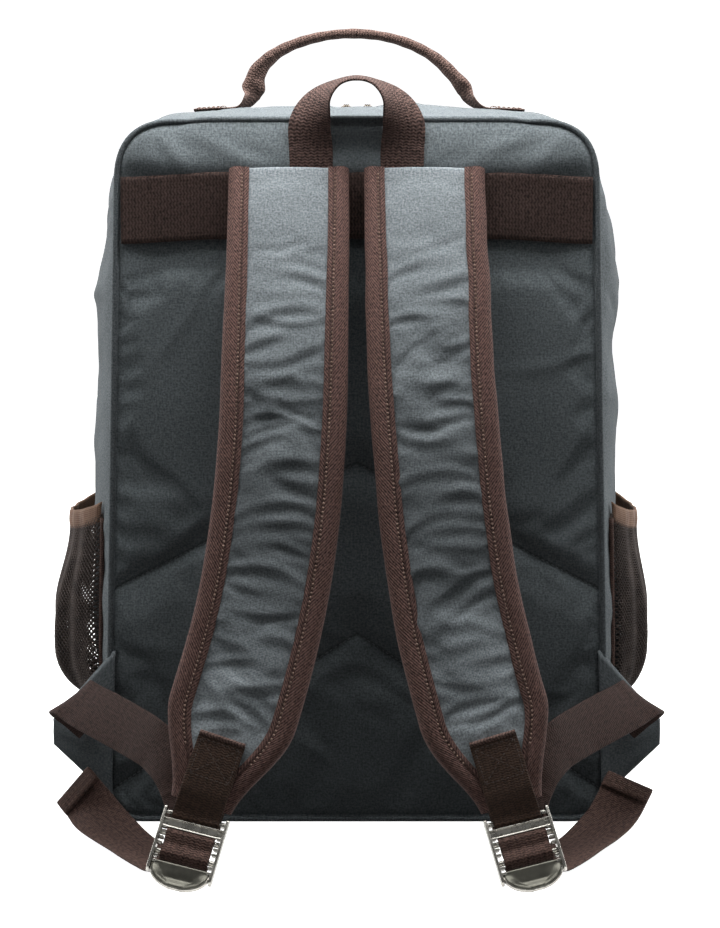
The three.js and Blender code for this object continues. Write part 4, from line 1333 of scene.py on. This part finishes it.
def box_stitch(x0, x1):
    """A stitched box on the handle's sewn end, with a cross inside."""
    y0, y1 = HANDLE_Y - 11, HANDLE_Y + 11
    box = [(x0, y0), (x1, y0), (x1, y1), (x0, y1), (x0, y0), (x1, y1)]
    lines = []
    for path in (box, [(x0, y1), (x1, y0)]):
        for a, b in zip(path[:-1], path[1:]):
            t = np.linspace(0, 1, 20)
            x, y = mix(a[0], b[0], t), mix(a[1], b[1], t)
            lines.append((np.stack([x, y, top_height(x) + 2.75], -1), np.array([0, 0, 1.0])))
    return lines


def hang_loop():
    """Webbing with both feet behind the straps, turned edge-on towards its top."""
    half = [
        [-27.5, off(8), 403.5, 1, 0, 0], [-27.8, off(8.6), 418, 1, 0, 0],
        [-28.3, off(11.5), 433, 0.96, -0.28, 0], [-22, off(12.5), 448.5, 0.62, -0.78, -0.05],
        [-11, off(13), 457.5, 0.2, -0.96, -0.12], [0, off(13), 460, 0, -0.98, -0.17],
    ]
    mirrored = [[-x, y, z, -wx, wy, wz] for x, y, z, wx, wy, wz in reversed(half[:-1])]
    stops = np.array([*half, *mirrored], float)
    strip = ribbon("hang_loop_strap", stops[:, :3], stops[:, 3:], 130, LOOP_WEBBING_SHADED, 26.5, 1.6)
    place(strip, None, "webbing", "hang_loop")
    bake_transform(strip)


def luggage_band():
    """Twill webbing across the panel, sewn at both sides and open above and below."""
    half = HALF_TOP - 3.0
    u, v = grid_of(np.linspace(-1, 1, 121), np.linspace(0, 1, 15))
    x = u * half
    share = np.cos(math.pi * u / 2)
    stand = 2.6 + (2.2 + 2.0 * v) * smoothstep(share, 0, 0.35) + 0.5 * ripple(x, 40 * v, 70, 161)
    stand += 0.35 * folds(x, 40 * v, 163, 12, (-half, half), (0, 40), 16, 4, 0.9, 0.6)
    z = mix(361, 401, v) + 3 * smoothstep(share, 0, 0.7)
    front = np.stack([x, off(stand + 0.9), z], -1)
    band = thick_sheet("luggage_band_strap", front, 1.5, BAND, uv=np.stack([40 * v, x], -1))
    place(band, "bag", "webbing", "luggage_band")


# ---------------------------------------------------------------- side pockets and wings

NET_CELLS = (84, 66)
POCKET_REACH = {-1: 23, 1: 16}


def pocket_wall(side, v, w):
    """Points of a side pocket: v runs from back to front and w from the base to the band."""
    y = mix(-62, 16, v)
    z = mix(72, 190, w)
    heights = np.linspace(60, 210, 31)
    u = np.interp(z, heights, [share_at(h) for h in heights])
    across = np.sin(math.pi * np.clip(v, 0, 1)) ** 0.55
    pouch = np.sqrt(1 - (1 - np.clip(w / 0.25, 0, 1)) ** 2)
    up = mix(pouch, 0.62, smoothstep(w, 0.5, 1))
    pleat = 0.13 * np.cos(math.tau * 2.5 * v + 0.8) * smoothstep(w, 1.0, 0.2)
    pleat = pleat + 0.045 * np.cos(math.tau * 6 * v + 2 * w)
    reach = 1.6 + POCKET_REACH[side] * across * up * (1 + pleat)
    drop = 9 * across * smoothstep(w, 0.3, 1)
    p = skin(u, y)
    return np.stack([side * (p[..., 0] + reach), y, z - drop], -1)


def pocket_net(side, name):
    """Diamond net with real holes, hemmed along its sewn edges."""
    cols, rows = NET_CELLS
    v, w = grid_of(np.linspace(0, 1, cols + 1), np.linspace(0, 1.02, rows + 1))
    points = pocket_wall(side, v, w).reshape(-1, 3)
    faces = []
    for i in range(cols + 1):
        for j in range(rows + 1):
            if (i + j) % 2 == 0:
                continue
            ring = [(i - 1, j), (i, j - 1), (i + 1, j), (i, j + 1)]
            face = [a * (rows + 1) + b for a, b in ring if 0 <= a <= cols and 0 <= b <= rows]
            if len(face) >= 3:
                faces.append(tuple(face) if side > 0 else tuple(reversed(face)))
    used = sorted({k for f in faces for k in f})
    number = {k: n for n, k in enumerate(used)}
    faces = [tuple(number[k] for k in f) for f in faces]
    net = make_object("pocket_net_" + name, points[used], faces, NET, points[used][:, 1:])
    wire = net.modifiers.new("strands", "WIREFRAME")
    wire.thickness = 1.85 * MM
    wire.use_boundary = True
    wire.use_even_offset = False
    apply_modifiers(net)
    hem_v = np.concatenate([np.zeros(24), np.linspace(0, 1, 40), np.ones(24)])
    hem_w = np.concatenate([np.linspace(1, 0, 24), np.zeros(40), np.linspace(0, 1, 24)])
    hem = tube("hem", pocket_wall(side, hem_v, hem_w), 1.5, WEBBING, 8)
    place(join("pocket_net_" + name, [net, hem]), "bag", "mesh", f"pocket_mesh_{name}")


def pocket_elastic(side, name):
    """The gathered band along the pocket's mouth."""
    v, w = grid_of(np.linspace(0, 1, 121), np.linspace(0, 1, 9))
    top = pocket_wall(side, v, 1.0)
    gather = 0.12 * np.cos(math.tau * 17 * v) * np.sin(math.pi * w)
    front = top.copy()
    front[..., 0] += side * (0.8 + gather + 0.5 * np.sin(math.pi * w))
    front[..., 2] += mix(-1.5, 10, w)
    uv = np.stack([mix(0, 110, v), 11 * w], -1)
    band = thick_sheet("pocket_elastic_" + name, front, 1.8, TRIM, flip=side < 0, uv=uv)
    place(band, "bag", "trim", f"pocket_band_{name}")


def wing(side, name):
    """A three-cornered gusset from the back seam out to the webbing, its long edges turned."""
    u, v = grid_of(np.linspace(0, 1, 25), np.linspace(0, 1, 25))
    seam = mix(np.array([154, off(1), 16.0]), np.array([150.6, off(1), 108.0]), u[..., None])
    tip = np.array([188, off(-4), 56.0]) + np.array([0, 0, 1.0]) * mix(-7, 7, u)[..., None]
    p = mix(seam, tip, v[..., None])
    sag = np.sin(math.pi * u) * np.sin(math.pi * v)
    crease = folds(u * 90, v * 34, 171, 9, (5, 85), (4, 30), 16, 3.5, 0.4, 1.3)
    p = p + np.stack([2.0 * v, -1.2 - 1.2 * sag - 0.5 * crease * sag, -1.0 * sag], -1)
    p[..., 0] *= side
    uv = np.stack([90 * u, 34 * v], -1)
    cloth = thick_sheet("wing_cloth_" + name, p, 1.8, CANVAS, flip=side < 0, uv=uv)
    edges = [tube("edge", line, 1.15, CANVAS, 8) for line in (p[0], p[-1])]
    wing_cloth = join("wing_cloth_" + name, [cloth, *edges])
    place(wing_cloth, "bag", "canvas", f"wing_{name}")


# ---------------------------------------------------------------- shoulder straps

STRAP_STEPS = 128


def strap_half(t):
    """Half the strap's width: it is drawn in to the buckle's webbing at its lower end."""
    return mix(STRAP_HALF - mix(0.9, 0, smoothstep(t, 0, 0.4)), 16.8, smoothstep(t, 0.86, 1.02))


def binding_width(t):
    """The tape shows less where the strap's edges roll under at the top."""
    return mix(11.7, BINDING, smoothstep(t, 0, 0.45))


def strap_thin(t):
    """The share of its full thickness that the strap has: less at both sewn ends."""
    return mix(0.6, 1, smoothstep(t, 0, 0.1)) * mix(1, STRAP_END_THIN, smoothstep(t, 0.85, 1))


def strap_frames(side):
    """Frames along a strap: centres, directions across and off its face, and tangents."""
    stops = [[side * x + sway, off(d), z] for (x, d, z), sway in zip(STRAP_ROUTE, STRAP_SWAY)]
    return frames_along(stops, np.tile([-1.0, 0, 0], (len(stops), 1)), STRAP_STEPS)


def on_strap(frames, t, across, out):
    """Points on a strap at shares of its length, across it and off its front."""
    centres, wide, lift, _ = frames
    steps = len(centres) - 1
    t, across, out = np.broadcast_arrays(np.asarray(t, float), across, out)

    def at(values):
        index = np.clip(t, 0, 1) * steps
        low = np.minimum(index.astype(int), steps - 1)
        return mix(values[low], values[low + 1], (index - low)[..., None])

    past = (t - np.clip(t, 0, 1))[..., None] * STRAP_LENGTH
    tangent = at(frames[3])
    return at(centres) + tangent * past + at(wide) * across[..., None] + at(lift) * out[..., None]


def strap_pad(name, frames, seed):
    """The strap's foam in its canvas cover: crowned across, with creases from one edge towards the other."""
    t, s = grid_of(np.linspace(-0.006, 1.0, 151), crowded(np.linspace(-1, 1, 27)))
    half = strap_half(t) - 2.0
    open_half = strap_half(t) - binding_width(t)
    a = s * half
    k = strap_thin(t)
    share = np.clip(np.abs(a) / np.maximum(open_half, 1), 0, 3)
    crown = 2.3 * (1 - smoothstep(share, 0.2, 1.25)) * k
    tuck = -2.6 * smoothstep(np.abs(s), 0.86, 1) * k
    along = t * STRAP_LENGTH
    bent = smoothstep(along, 20, 90) * (1 - 0.7 * smoothstep(along, 290, 350))
    wave = cross_creases(along, a, seed) * bent
    field = 1 - smoothstep(share, 0.85, 1.2)
    front = on_strap(frames, t, a, crown + tuck + wave * mix(0.35, 1, field))
    pinned = (share > 1.12) | (t < 0.02) | (t > 0.97)
    swollen = billow(front, pinned, pressure=1.6, growth=0.035, cap=2.2)
    front = mix(front, swollen, mix(0.3, 0.9, smoothstep(along, 40, 150))[..., None])
    back = on_strap(frames, t, a, (-STRAP_THICK + 1.6) * k + 2.4 * smoothstep(np.abs(s), 0.84, 1) * k)
    pad = closed_sheet("strap_pad_" + name, front, back, CANVAS_STRAP_LIT, uv=np.stack([a, along], -1))
    subdivide(pad)
    place(pad, f"strap_{name}", "canvas", f"strap_face_{name}", f"strap_foam_{name}")
    backing = on_strap(frames, t, a * 0.96, (0.5 - STRAP_THICK) * k + 0.35 * ripple(along, a, 26, seed + 9))
    thin = thick_sheet("strap_lining_" + name, backing, 0.9, AIR_MESH, flip=True, uv=np.stack([a, along], -1))
    place(thin, f"strap_{name}", "lining", f"strap_backing_{name}")


def cross_creases(along, across, seed):
    """Soft crescent folds over the strap's canvas where it curves over the shoulder."""
    draw = np.random.default_rng(seed)
    total = np.zeros(along.shape)
    centre = 48.0
    while centre < 330:
        lean = draw.normal(0.10, 0.16)
        start = draw.uniform(-16, 12)
        width = draw.uniform(10, 22)
        tall = draw.uniform(2.0, 3.8)
        depth = draw.uniform(0.5, 1.5) * tall / 3
        curve = draw.uniform(0.004, 0.012) * draw.choice([-1, 1])
        line = along - centre - lean * (across - start) - curve * (across - start) ** 2
        reach = np.exp(-(((across - start) / width) ** 2))
        hollow = 0.8 * np.exp(-(((line - 1.9 * tall) / tall) ** 2))
        total += depth * reach * (np.exp(-((line / tall) ** 2)) - hollow)
        centre += draw.uniform(7, 14)
    return total


def strap_tape(side, name, frames):
    """Herringbone tape folded over both long edges, and over the end under the buckle's tab."""
    parts = []
    t = np.linspace(-0.006, 1.006, 150)
    half, k = strap_half(t), strap_thin(t)
    wide_by = BINDING - binding_width(t)
    along = t * STRAP_LENGTH
    for edge_side in (-1, 1):
        seed = 181 + edge_side + 2 * side
        half_here = half + 0.35 * ripple(along, 0 * along, 55, seed)
        puff = 0.25 * ripple(along, 0 * along, 24, seed + 7)
        f, b = 0.5 * k, -STRAP_THICK * k
        shape = [
            (-BINDING, f + 0.2), (-BINDING + 0.3, f + 1.25), (-9.8, f + 1.75 + puff), (-9.3, f + 1.25),
            (-8.8, f + 1.8 + puff), (-5, f + 2.1 + puff), (-1.6, f + 1.3), (0.3, f - 0.5),
            (0.8, mix(f, b, 0.3)), (0.8, mix(f, b, 0.7)), (0.3, b + 0.4), (-1.6, b - 1.1),
            (-6, b - 1.5), (-BINDING + 0.3, b - 1.3), (-BINDING, b - 0.2), (-BINDING + 1.5, b - 0.1),
            (-2, b + 0.2), (-0.6, mix(f, b, 0.5)), (-2, f + 0.2), (-BINDING + 1.5, f + 0.2),
        ]
        section = np.stack([np.stack(np.broadcast_arrays(half_here + a + wide_by * (a < -4), o), -1)
                            for a, o in shape], 1)
        outline = np.array([[a, float(np.mean(o))] for a, o in shape])
        centres = on_strap(frames, t, 0, 0)
        wide = on_strap(frames, t, edge_side, 0) - centres
        lift = on_strap(frames, t, 0, 1) - centres
        parts.append(loft("tape", centres, wide, lift, section, TAPE, across_uv=travelled(outline), sharp=70))
    parts.append(end_tape(frames))
    place(join("strap_tape_" + name, parts), f"strap_{name}", "tape", f"strap_binding_{name}")
    strap_stitches(name, frames)


def end_tape(frames):
    """The tape over the strap's narrow end."""
    a = np.linspace(-15.8, 15.8, 16)
    low = -STRAP_THICK * STRAP_END_THIN
    end, wide, lift, down = (np.asarray(f[-1]) for f in frames)
    centre = end + a[:, None] * wide
    section = [
        (-9, 1.2), (-1, 1.6), (2.0, 0.6), (2.6, -3), (2.0, low), (-1, low - 1.2),
        (-9, low - 1.0), (-9, low), (-1, low + 0.2), (1, -3), (-1, 0.4), (-9, 0.2),
    ]
    count = len(a)
    return loft("tape", centre, np.tile(down, (count, 1)), np.tile(lift, (count, 1)), section, TAPE, sharp=60)


def strap_stitches(name, frames):
    """The lines of thread that hold the tape, one along each edge."""
    lines = []
    t = np.linspace(0.004, 0.93, 260)
    k = strap_thin(t)
    for edge_side in (-1, 1):
        a = edge_side * (strap_half(t) - 9.3 + BINDING - binding_width(t))
        line = on_strap(frames, t, a, 0.5 * k + 1.45)
        lift = on_strap(frames, t, a, 0.5 * k + 2.45) - line
        lines.append((line, lift))
    place(stitches("strap_stitches_" + name, lines, TAPE_THREAD, 2.6, 1.5, 0.55), f"strap_{name}", "tape")


# ---------------------------------------------------------------- buckles and their webbing

BUCKLE_CENTRE = (90.06, -206.64, 36.66)
BUCKLE_DOWN = (0.25, -0.52, -0.82)
BUCKLE_HALF = 18.2
BUCKLE_BARS = (12, 23)
RIB_STEPS = (1.2, 5.4, 9.0, 15.4, 18.6, 26.2, 29.4)
PLATE_START = 28.8
PLATE_END = 42


def buckle_axes(side):
    """The buckle's frame as three rows: across its bars, down its length and out of its face."""
    down = unit(np.array([side * BUCKLE_DOWN[0], BUCKLE_DOWN[1], BUCKLE_DOWN[2]]))
    across = unit(np.array([-1.0, 0, 0]) + down * down[0])
    return np.stack([across, down, np.cross(across, down)])


def buckle_place(side):
    """The buckle's frame: the middle of its top bar and its axes."""
    return np.array([side * BUCKLE_CENTRE[0], *BUCKLE_CENTRE[1:]]), buckle_axes(side)


def in_buckle(side, points):
    """Carries points from the buckle's own frame to the bag's."""
    origin, axes = buckle_place(side)
    return origin + np.asarray(points, float) @ axes


def rail_plate(side, s):
    """One side plate of the buckle, standing on edge, with a rib for each step of its ladder."""
    outline = [*arc(-1.4, 1.2, 1.6, 3.0, 90, 270, 8), (32.5, -1.8), *arc(33.5, 1.2, 2.4, 3.0, -90, 90, 10)]
    origin, axes = buckle_place(side)
    stand = np.stack([axes[1], axes[2], axes[0]])
    rail_frame = (origin + axes[0] * s * (BUCKLE_HALF - 0.2), stand)
    parts = [bevelled_outline("rail", outline, -0.8, 0.8, 0.35, STEEL, rail_frame, sharp=40)]
    rib = [(-0.75, 0), (0.75, 0), (0.75, 2.4), (0.2, 3.1), (-0.2, 3.1), (-0.75, 2.4)]
    rib_axes = np.stack([axes[1], -s * axes[0], axes[2]])
    for y in RIB_STEPS:
        at = origin + axes[0] * s * (BUCKLE_HALF - 0.8) + axes[1] * y
        parts.append(bevelled_outline("rib", rib, -1.2, 3.2, 0.2, STEEL, (at, rib_axes)))
    return parts


def cross_bar(side, y, radius):
    """A round bar from one side plate to the other."""
    x = np.linspace(-BUCKLE_HALF + 0.3, BUCKLE_HALF - 0.3, 24)
    points = np.stack([x, np.full(24, float(y)), np.zeros(24)], -1)
    return tube("rod", in_buckle(side, points), radius, STEEL, 16)


def lock_bar(side):
    """The flat channelled bar across the buckle's face, its two long rims raised."""
    x = np.linspace(-BUCKLE_HALF + 0.4, BUCKLE_HALF - 0.4, 30)
    centre = in_buckle(side, np.stack([x, np.full(30, 6.4), np.full(30, 2.6)], -1))
    axes = buckle_axes(side)
    lean = math.radians(16)
    down = axes[1] * math.cos(lean) - axes[2] * math.sin(lean)
    lift = axes[2] * math.cos(lean) + axes[1] * math.sin(lean)
    section = [
        (-2.4, -0.7), (2.4, -0.7), (2.6, 0.1), (2.5, 1.1), (2.1, 1.3), (1.75, 1.0),
        (1.5, 0.1), (-1.5, 0.1), (-1.75, 1.0), (-2.1, 1.3), (-2.5, 1.1), (-2.6, 0.1),
    ]
    return loft("lock_bar", centre, np.tile(down, (30, 1)), np.tile(lift, (30, 1)), section, STEEL, sharp=40)


def thumb_plate(side):
    """The D-shaped lifting plate: dished and painted darker than the steel as a painted dark reflection, with
    a bright rolled rim of the plain steel.
    """
    s, t = grid_of(np.linspace(-1, 1, 33), np.linspace(0, 1, 17))
    depth = PLATE_END - PLATE_START
    y = PLATE_START + t * depth
    half = (BUCKLE_HALF - 2.0) * np.sqrt(np.maximum(1 - np.clip((t - 0.22) / 0.80, 0, 1) ** 2, 0.0))
    half = np.maximum(half, 0.6)
    x = s * half
    rim = smoothstep(np.abs(s), 0.55, 1.0) + smoothstep(t, 0.6, 1.0)
    z = 0.2 + 2.4 * np.minimum(rim, 1) * smoothstep(t, 0.1, 0.6)
    front = in_buckle(side, np.stack([x, y, z + 1.3], -1).reshape(-1, 3)).reshape(*x.shape, 3)
    plate = thick_sheet("thumb_plate", front, 1.3, PLATE_STEEL_PAINTED_REFLECTION, flip=True)
    border = np.concatenate([np.stack([x[0], y[0], z[0] + 0.7], -1),
                             np.stack([x[:, -1], y[:, -1], z[:, -1] + 0.7], -1)[1:-1],
                             np.stack([x[-1], y[-1], z[-1] + 0.7], -1)[::-1]])
    roll = tube("roll", in_buckle(side, border), 1.35, STEEL, 10)
    return [plate, roll]


def buckle(side, name):
    """A ladder lock: side plates, three round bars, the lock bar and the thumb plate."""
    parts = [lock_bar(side), cross_bar(side, 0, 1.3), *thumb_plate(side)]
    for s in (-1, 1):
        parts += rail_plate(side, s)
    for y in BUCKLE_BARS:
        parts.append(cross_bar(side, y, 1.6))
    place(join("ladder_lock_detail_" + name, parts), f"ladder_lock_{name}", "metal", f"buckle_{name}")


def webbing_in_buckle(side, name):
    """The webbing's way over the two bars, by distances down the buckle and out of it."""
    stops = [
        [6.4, -3.6], [8.4, -0.6], [10.4, 2.1], [12, 2.8], [14.4, 2.2], [17.5, 1.3],
        [20.6, 2.2], [23, 2.8], [24.9, 1.9], [26.6, -0.8], [27.2, -3.8],
    ]
    origin, axes = buckle_place(side)
    flat = np.array([[0, down, out] for down, out in stops], float)
    centres, _, _, tangents = frames_along(flat, np.tile([1.0, 0, 0], (len(flat), 1)), 80)
    across = np.tile(axes[0], (len(centres), 1))
    out = np.cross(across, tangents @ axes)
    section = strip_section(28, 1.6)
    strip = loft("buckle_strip_" + name, origin + centres @ axes, across, out, section, WEBBING)
    place(strip, f"ladder_lock_{name}", "webbing", f"buckle_webbing_{name}")


def strap_tab(side, name, frames):
    """The webbing that holds the buckle, sewn to the strap with a crossed box."""
    axes = buckle_axes(side)
    front = [36, 29, 21, 13, 5]
    shares = [1 - d / STRAP_LENGTH for d in front]
    stops = [on_strap(frames, t, 0.0, o) for t, o in zip(shares, (3.6, 4.1, 4.1, 4.1, 4.1))]
    fold = [on_strap(frames, 1 - 35.4 / STRAP_LENGTH, 0.0, 2.4)]
    wide = [on_strap(frames, t, 1.0, 4.1) - on_strap(frames, t, 0.0, 4.1) for t in shares]
    wrap = in_buckle(side, [[0, -1.2, 3], [0, 2.1, 2.4], [0, 3.2, 0], [0, 2.1, -2.4], [0, -1.2, -3.3]])
    back = [on_strap(frames, 1.0, 0.0, -9.6), on_strap(frames, 1 - 9 / STRAP_LENGTH, 0.0, -11.4)]
    stops = [*fold, *stops, *wrap, *back]
    widths = [wide[0], *wide, *[axes[0]] * 5, wide[-1], wide[-1]]
    strip = ribbon("strap_tab_webbing_" + name, stops, widths, 110, TAB_WEBBING, 27.5, 1.7)
    place(strip, f"strap_{name}", "webbing", f"strap_tab_{name}")
    corners = {"a": (-11.4, 33), "b": (11.4, 33), "c": (11.4, 13), "d": (-11.4, 13)}
    lines = []
    for pair in ("ab", "bc", "cd", "da", "ac", "bd"):
        (a0, d0), (a1, d1) = corners[pair[0]], corners[pair[1]]
        t = np.linspace(0, 1, 24)
        share = 1 - mix(d0, d1, t) / STRAP_LENGTH
        line = on_strap(frames, share, mix(a0, a1, t), 4.95)
        lines.append((line, on_strap(frames, share, mix(a0, a1, t), 5.95) - line))
    place(stitches("tab_stitches_" + name, lines, DARK_THREAD, 2.8, 2.0, 0.26), f"strap_{name}", "webbing")
    # The tab's fold: a real roll, made of the lighter, lit webbing as a painted highlight.
    fold_a = np.linspace(-13.4, 13.4, 20)
    roll = on_strap(frames, 1 - 36.2 / STRAP_LENGTH, fold_a, 4.4)
    place(tube("tab_fold_highlight_" + name, roll, 1.5, HANDLE_WEBBING_LIT, 10), f"strap_{name}", "webbing")


def load_webbing(side, name):
    """From the wing out to its fold, forwards and round behind the strap, then down to the buckle."""
    stops = [
        [163, 5, 64, -0.75, 0, 0.65], [171, 8.5, 72, -0.8, 0, 0.6], [177, 15, 79, -0.8, 0, 0.6],
        [174, 24, 83, -0.8, 0, 0.6], [165, 36, 81, -0.75, 0, 0.66], [136, 68, 74, -0.55, -0.1, 0.82],
        [119, 88, 69, -0.55, -0.2, 0.8], [107, 100, 61, -0.8, -0.2, 0.5], [99, 106, 50, -0.96, 0, 0.2],
        [95, 112, 41, -1, 0, 0],
    ]
    points = [[side * x, off(d), z] for x, d, z, *_ in stops]
    widths = [[side * wx, wy, wz] for *_, wx, wy, wz in stops]
    points.append(in_buckle(side, [0, BUCKLE_BARS[0] - 6.2 + 0.4, -6.6]))
    widths.append([-side, 0, 0])
    strip = ribbon("load_strap_" + name, points, widths, 150, LOAD_WEBBING)
    place(strip, None, "webbing", f"load_webbing_{name}")
    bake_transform(strip)


TAIL_ENDS = {
    "left": [[143, 56, 6.5, 0.1], [160, 34, 14, 0.3], [174, 19, 26, 0.5]],
    "right": [[143, 54, 6, 0.0], [157, 34, 13, 0.0], [169, 16, 27, 0.1]],
}


def tail_webbing(side, name):
    """The loose end below the buckle, its end folded over once and sewn."""
    stops = [[104, 120, 4.2, 0.0], [114, 104, 3.4, 0.0], [128, 80, 4, 0.05], *TAIL_ENDS[name]]
    points = [in_buckle(side, [0, 28, -6.6]), *[[side * x, off(d), z] for x, d, z, _ in stops]]
    widths = [[-math.cos(turn), -side * math.sin(turn), -0.25 * math.sin(turn)] for *_, turn in stops]
    centres, across, out, tangents = frames_along(np.array(points), [[-1.0, 0, 0], *widths], 120)
    end, up = tangents[-1], out[-1] if out[-1][1] < 0 else -out[-1]
    turn = np.radians(np.linspace(0, 180, 9))[1:, None]
    curl = centres[-1] + end * 1.3 * np.sin(turn) + up * 1.3 * (1 - np.cos(turn))
    back = curl[-1] - end * np.linspace(1, 10, 8)[:, None] + up * 0.15 * np.sin(np.linspace(0, 3, 8))[:, None]
    path = np.concatenate([centres, curl, back])
    width = np.concatenate([across, np.tile(across[-1], (len(curl) + len(back), 1))])
    along = unit(np.gradient(path, axis=0))
    section = strip_section(WEBBING_WIDTH, 1.7)
    strip = loft("tail_strap_" + name, path, width, np.cross(width, along), section, WEBBING)
    place(strip, None, "webbing", f"tail_webbing_{name}")
    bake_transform(strip)
    t = np.linspace(-13, 13, 24)[:, None]
    lines = []
    for step in (4.0, 7.5):
        line = centres[-1] - end * step + across[-1] * t + up * (2.6 + 0.95)
        lines.append((line, up))
    place(stitches("tail_stitches_" + name, lines, BROWN_THREAD, 2.8, 2.0, 0.26), f"strap_{name}", "webbing")


# ---------------------------------------------------------------- assembly

def build_bag():
    back_cover()
    bag_panels()
    lid_hinge()
    piping("back_welt", 0.0, 1.0, BACK_Y - 0.9, "bag", "back_piping", True)
    lid_seam = share_at(LID_Z + 1)
    piping("front_welt", lid_seam, 1 - lid_seam, FRONT_Y + 0.1, "lid", "front_piping", False)
    inner_parts()
    main_zips()
    front_pocket()
    zip_pullers()
    grab_handle()
    hang_loop()
    luggage_band()


def build_side(side, name):
    pocket_net(side, name)
    pocket_elastic(side, name)
    wing(side, name)
    frames = strap_frames(side)
    strap_pad(name, frames, 201 + side)
    strap_tape(side, name, frames)
    strap_tab(side, name, frames)
    buckle(side, name)
    webbing_in_buckle(side, name)
    load_webbing(side, name)
    tail_webbing(side, name)


def finish_cad_nodes():
    """The base board is carried over from the CAD as it is."""
    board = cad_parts["base_board"]
    board.data.materials.clear()
    board.data.materials.append(BOARD)


# ---------------------------------------------------------------- floor, light and camera

PAPER_GLOW = 0.95
SKY_LIGHT = 0.24
GROUND_LIGHT = 0.05


def floor():
    """A sweep: flat under the bag and curving up far behind it."""
    x, t = grid_of(np.linspace(-6000, 6000, 13), np.linspace(0, 1, 41))
    run = mix(-4500, 5200, t)
    turn = np.clip((run - 3200) / 2000, 0, 1)
    y = np.where(run < 3200, run, 3200 + 2000 * np.sin(turn * math.pi / 2))
    z = 2400 * (1 - np.cos(turn * math.pi / 2))
    points = np.stack([x, y, z - 0.5], -1)
    paper = Shader("studio_paper", (0.8, 0.8, 0.8), roughness=0.9)
    paper.roughness(paper.math("MULTIPLY_ADD", paper.body_noise(60, 2.0), 0.1, 0.85))
    paper.bsdf.inputs["Emission Color"].default_value = (1, 1, 1, 1)
    paper.bsdf.inputs["Emission Strength"].default_value = PAPER_GLOW
    faces = [tuple(reversed(f)) for f in quads(*points.shape[:2], False)]
    sweep = make_object("studio_floor", points.reshape(-1, 3), faces, paper.material)
    sweep.visible_diffuse = False


def area_light(name, place_mm, aim_mm, size, power, colour=(1, 1, 1)):
    data = bpy.data.lights.new(name, "AREA")
    data.shape = "RECTANGLE"
    data.size, data.size_y = (s * MM for s in size)
    data.energy = power
    data.color = colour
    light = bpy.data.objects.new(name, data)
    light.location = [c * MM for c in place_mm]
    aim = Vector([b - a for a, b in zip(place_mm, aim_mm)])
    light.rotation_euler = aim.to_track_quat("-Z", "Y").to_euler()
    light.visible_camera = False
    bpy.context.scene.collection.objects.link(light)


def lights():
    """A strip softbox over the straps, a light behind and before each shoulder and a soft one at the back."""
    area_light("top_softbox", (0, -140, 800), (0, -120, 0), (640, 300), 8.5)
    for side, name in ((-1, "left"), (1, "right")):
        area_light(f"rim_{name}", (side * 1250, 380, 620), (0, 0, 260), (400, 1100), 14)
        area_light(f"side_{name}", (side * 1150, -470, 800), (0, -75, 380), (400, 600), 1.4)
    area_light("rear_fill", (0, 2000, 900), (0, 0, 230), (1400, 1100), 16)
    studio_world()


def studio_world():
    """A white backdrop for the camera, which lights the pack more dimly, and least from below."""
    world = bpy.data.worlds.new("studio")
    world.use_nodes = True
    nodes, links = world.node_tree.nodes, world.node_tree.links
    split = nodes.new("ShaderNodeSeparateXYZ")
    links.new(nodes.new("ShaderNodeTexCoord").outputs["Generated"], split.inputs[0])
    sky = nodes.new("ShaderNodeMapRange")
    links.new(split.outputs[2], sky.inputs["Value"])
    spread = {"From Min": -0.35, "From Max": 0.35, "To Min": GROUND_LIGHT, "To Max": SKY_LIGHT}
    for name, value in spread.items():
        sky.inputs[name].default_value = value
    pick = nodes.new("ShaderNodeMix")
    links.new(nodes.new("ShaderNodeLightPath").outputs["Is Camera Ray"], pick.inputs[0])
    links.new(sky.outputs["Result"], pick.inputs[2])
    pick.inputs[3].default_value = 1.0
    background = nodes["Background"]
    background.inputs[0].default_value = (1, 1, 1, 1)
    links.new(pick.outputs[0], background.inputs[1])
    bpy.context.scene.world = world


def camera():
    """The photograph's view, from a little above the middle of the bag."""
    data = bpy.data.cameras.new("camera")
    data.lens = 78.6
    data.clip_end = 50
    eye = bpy.data.objects.new("camera", data)
    eye.location = (0.002, -1.325, 0.340)
    eye.rotation_euler = (math.radians(90 - 5.25), 0, 0)
    bpy.context.scene.collection.objects.link(eye)
    bpy.context.scene.camera = eye


camera()
build_bag()
for side_name, side_sign in SIDES.items():
    build_side(side_sign, side_name)
finish_cad_nodes()
floor()
lights()
bpy.context.scene.view_settings.view_transform = "Standard"
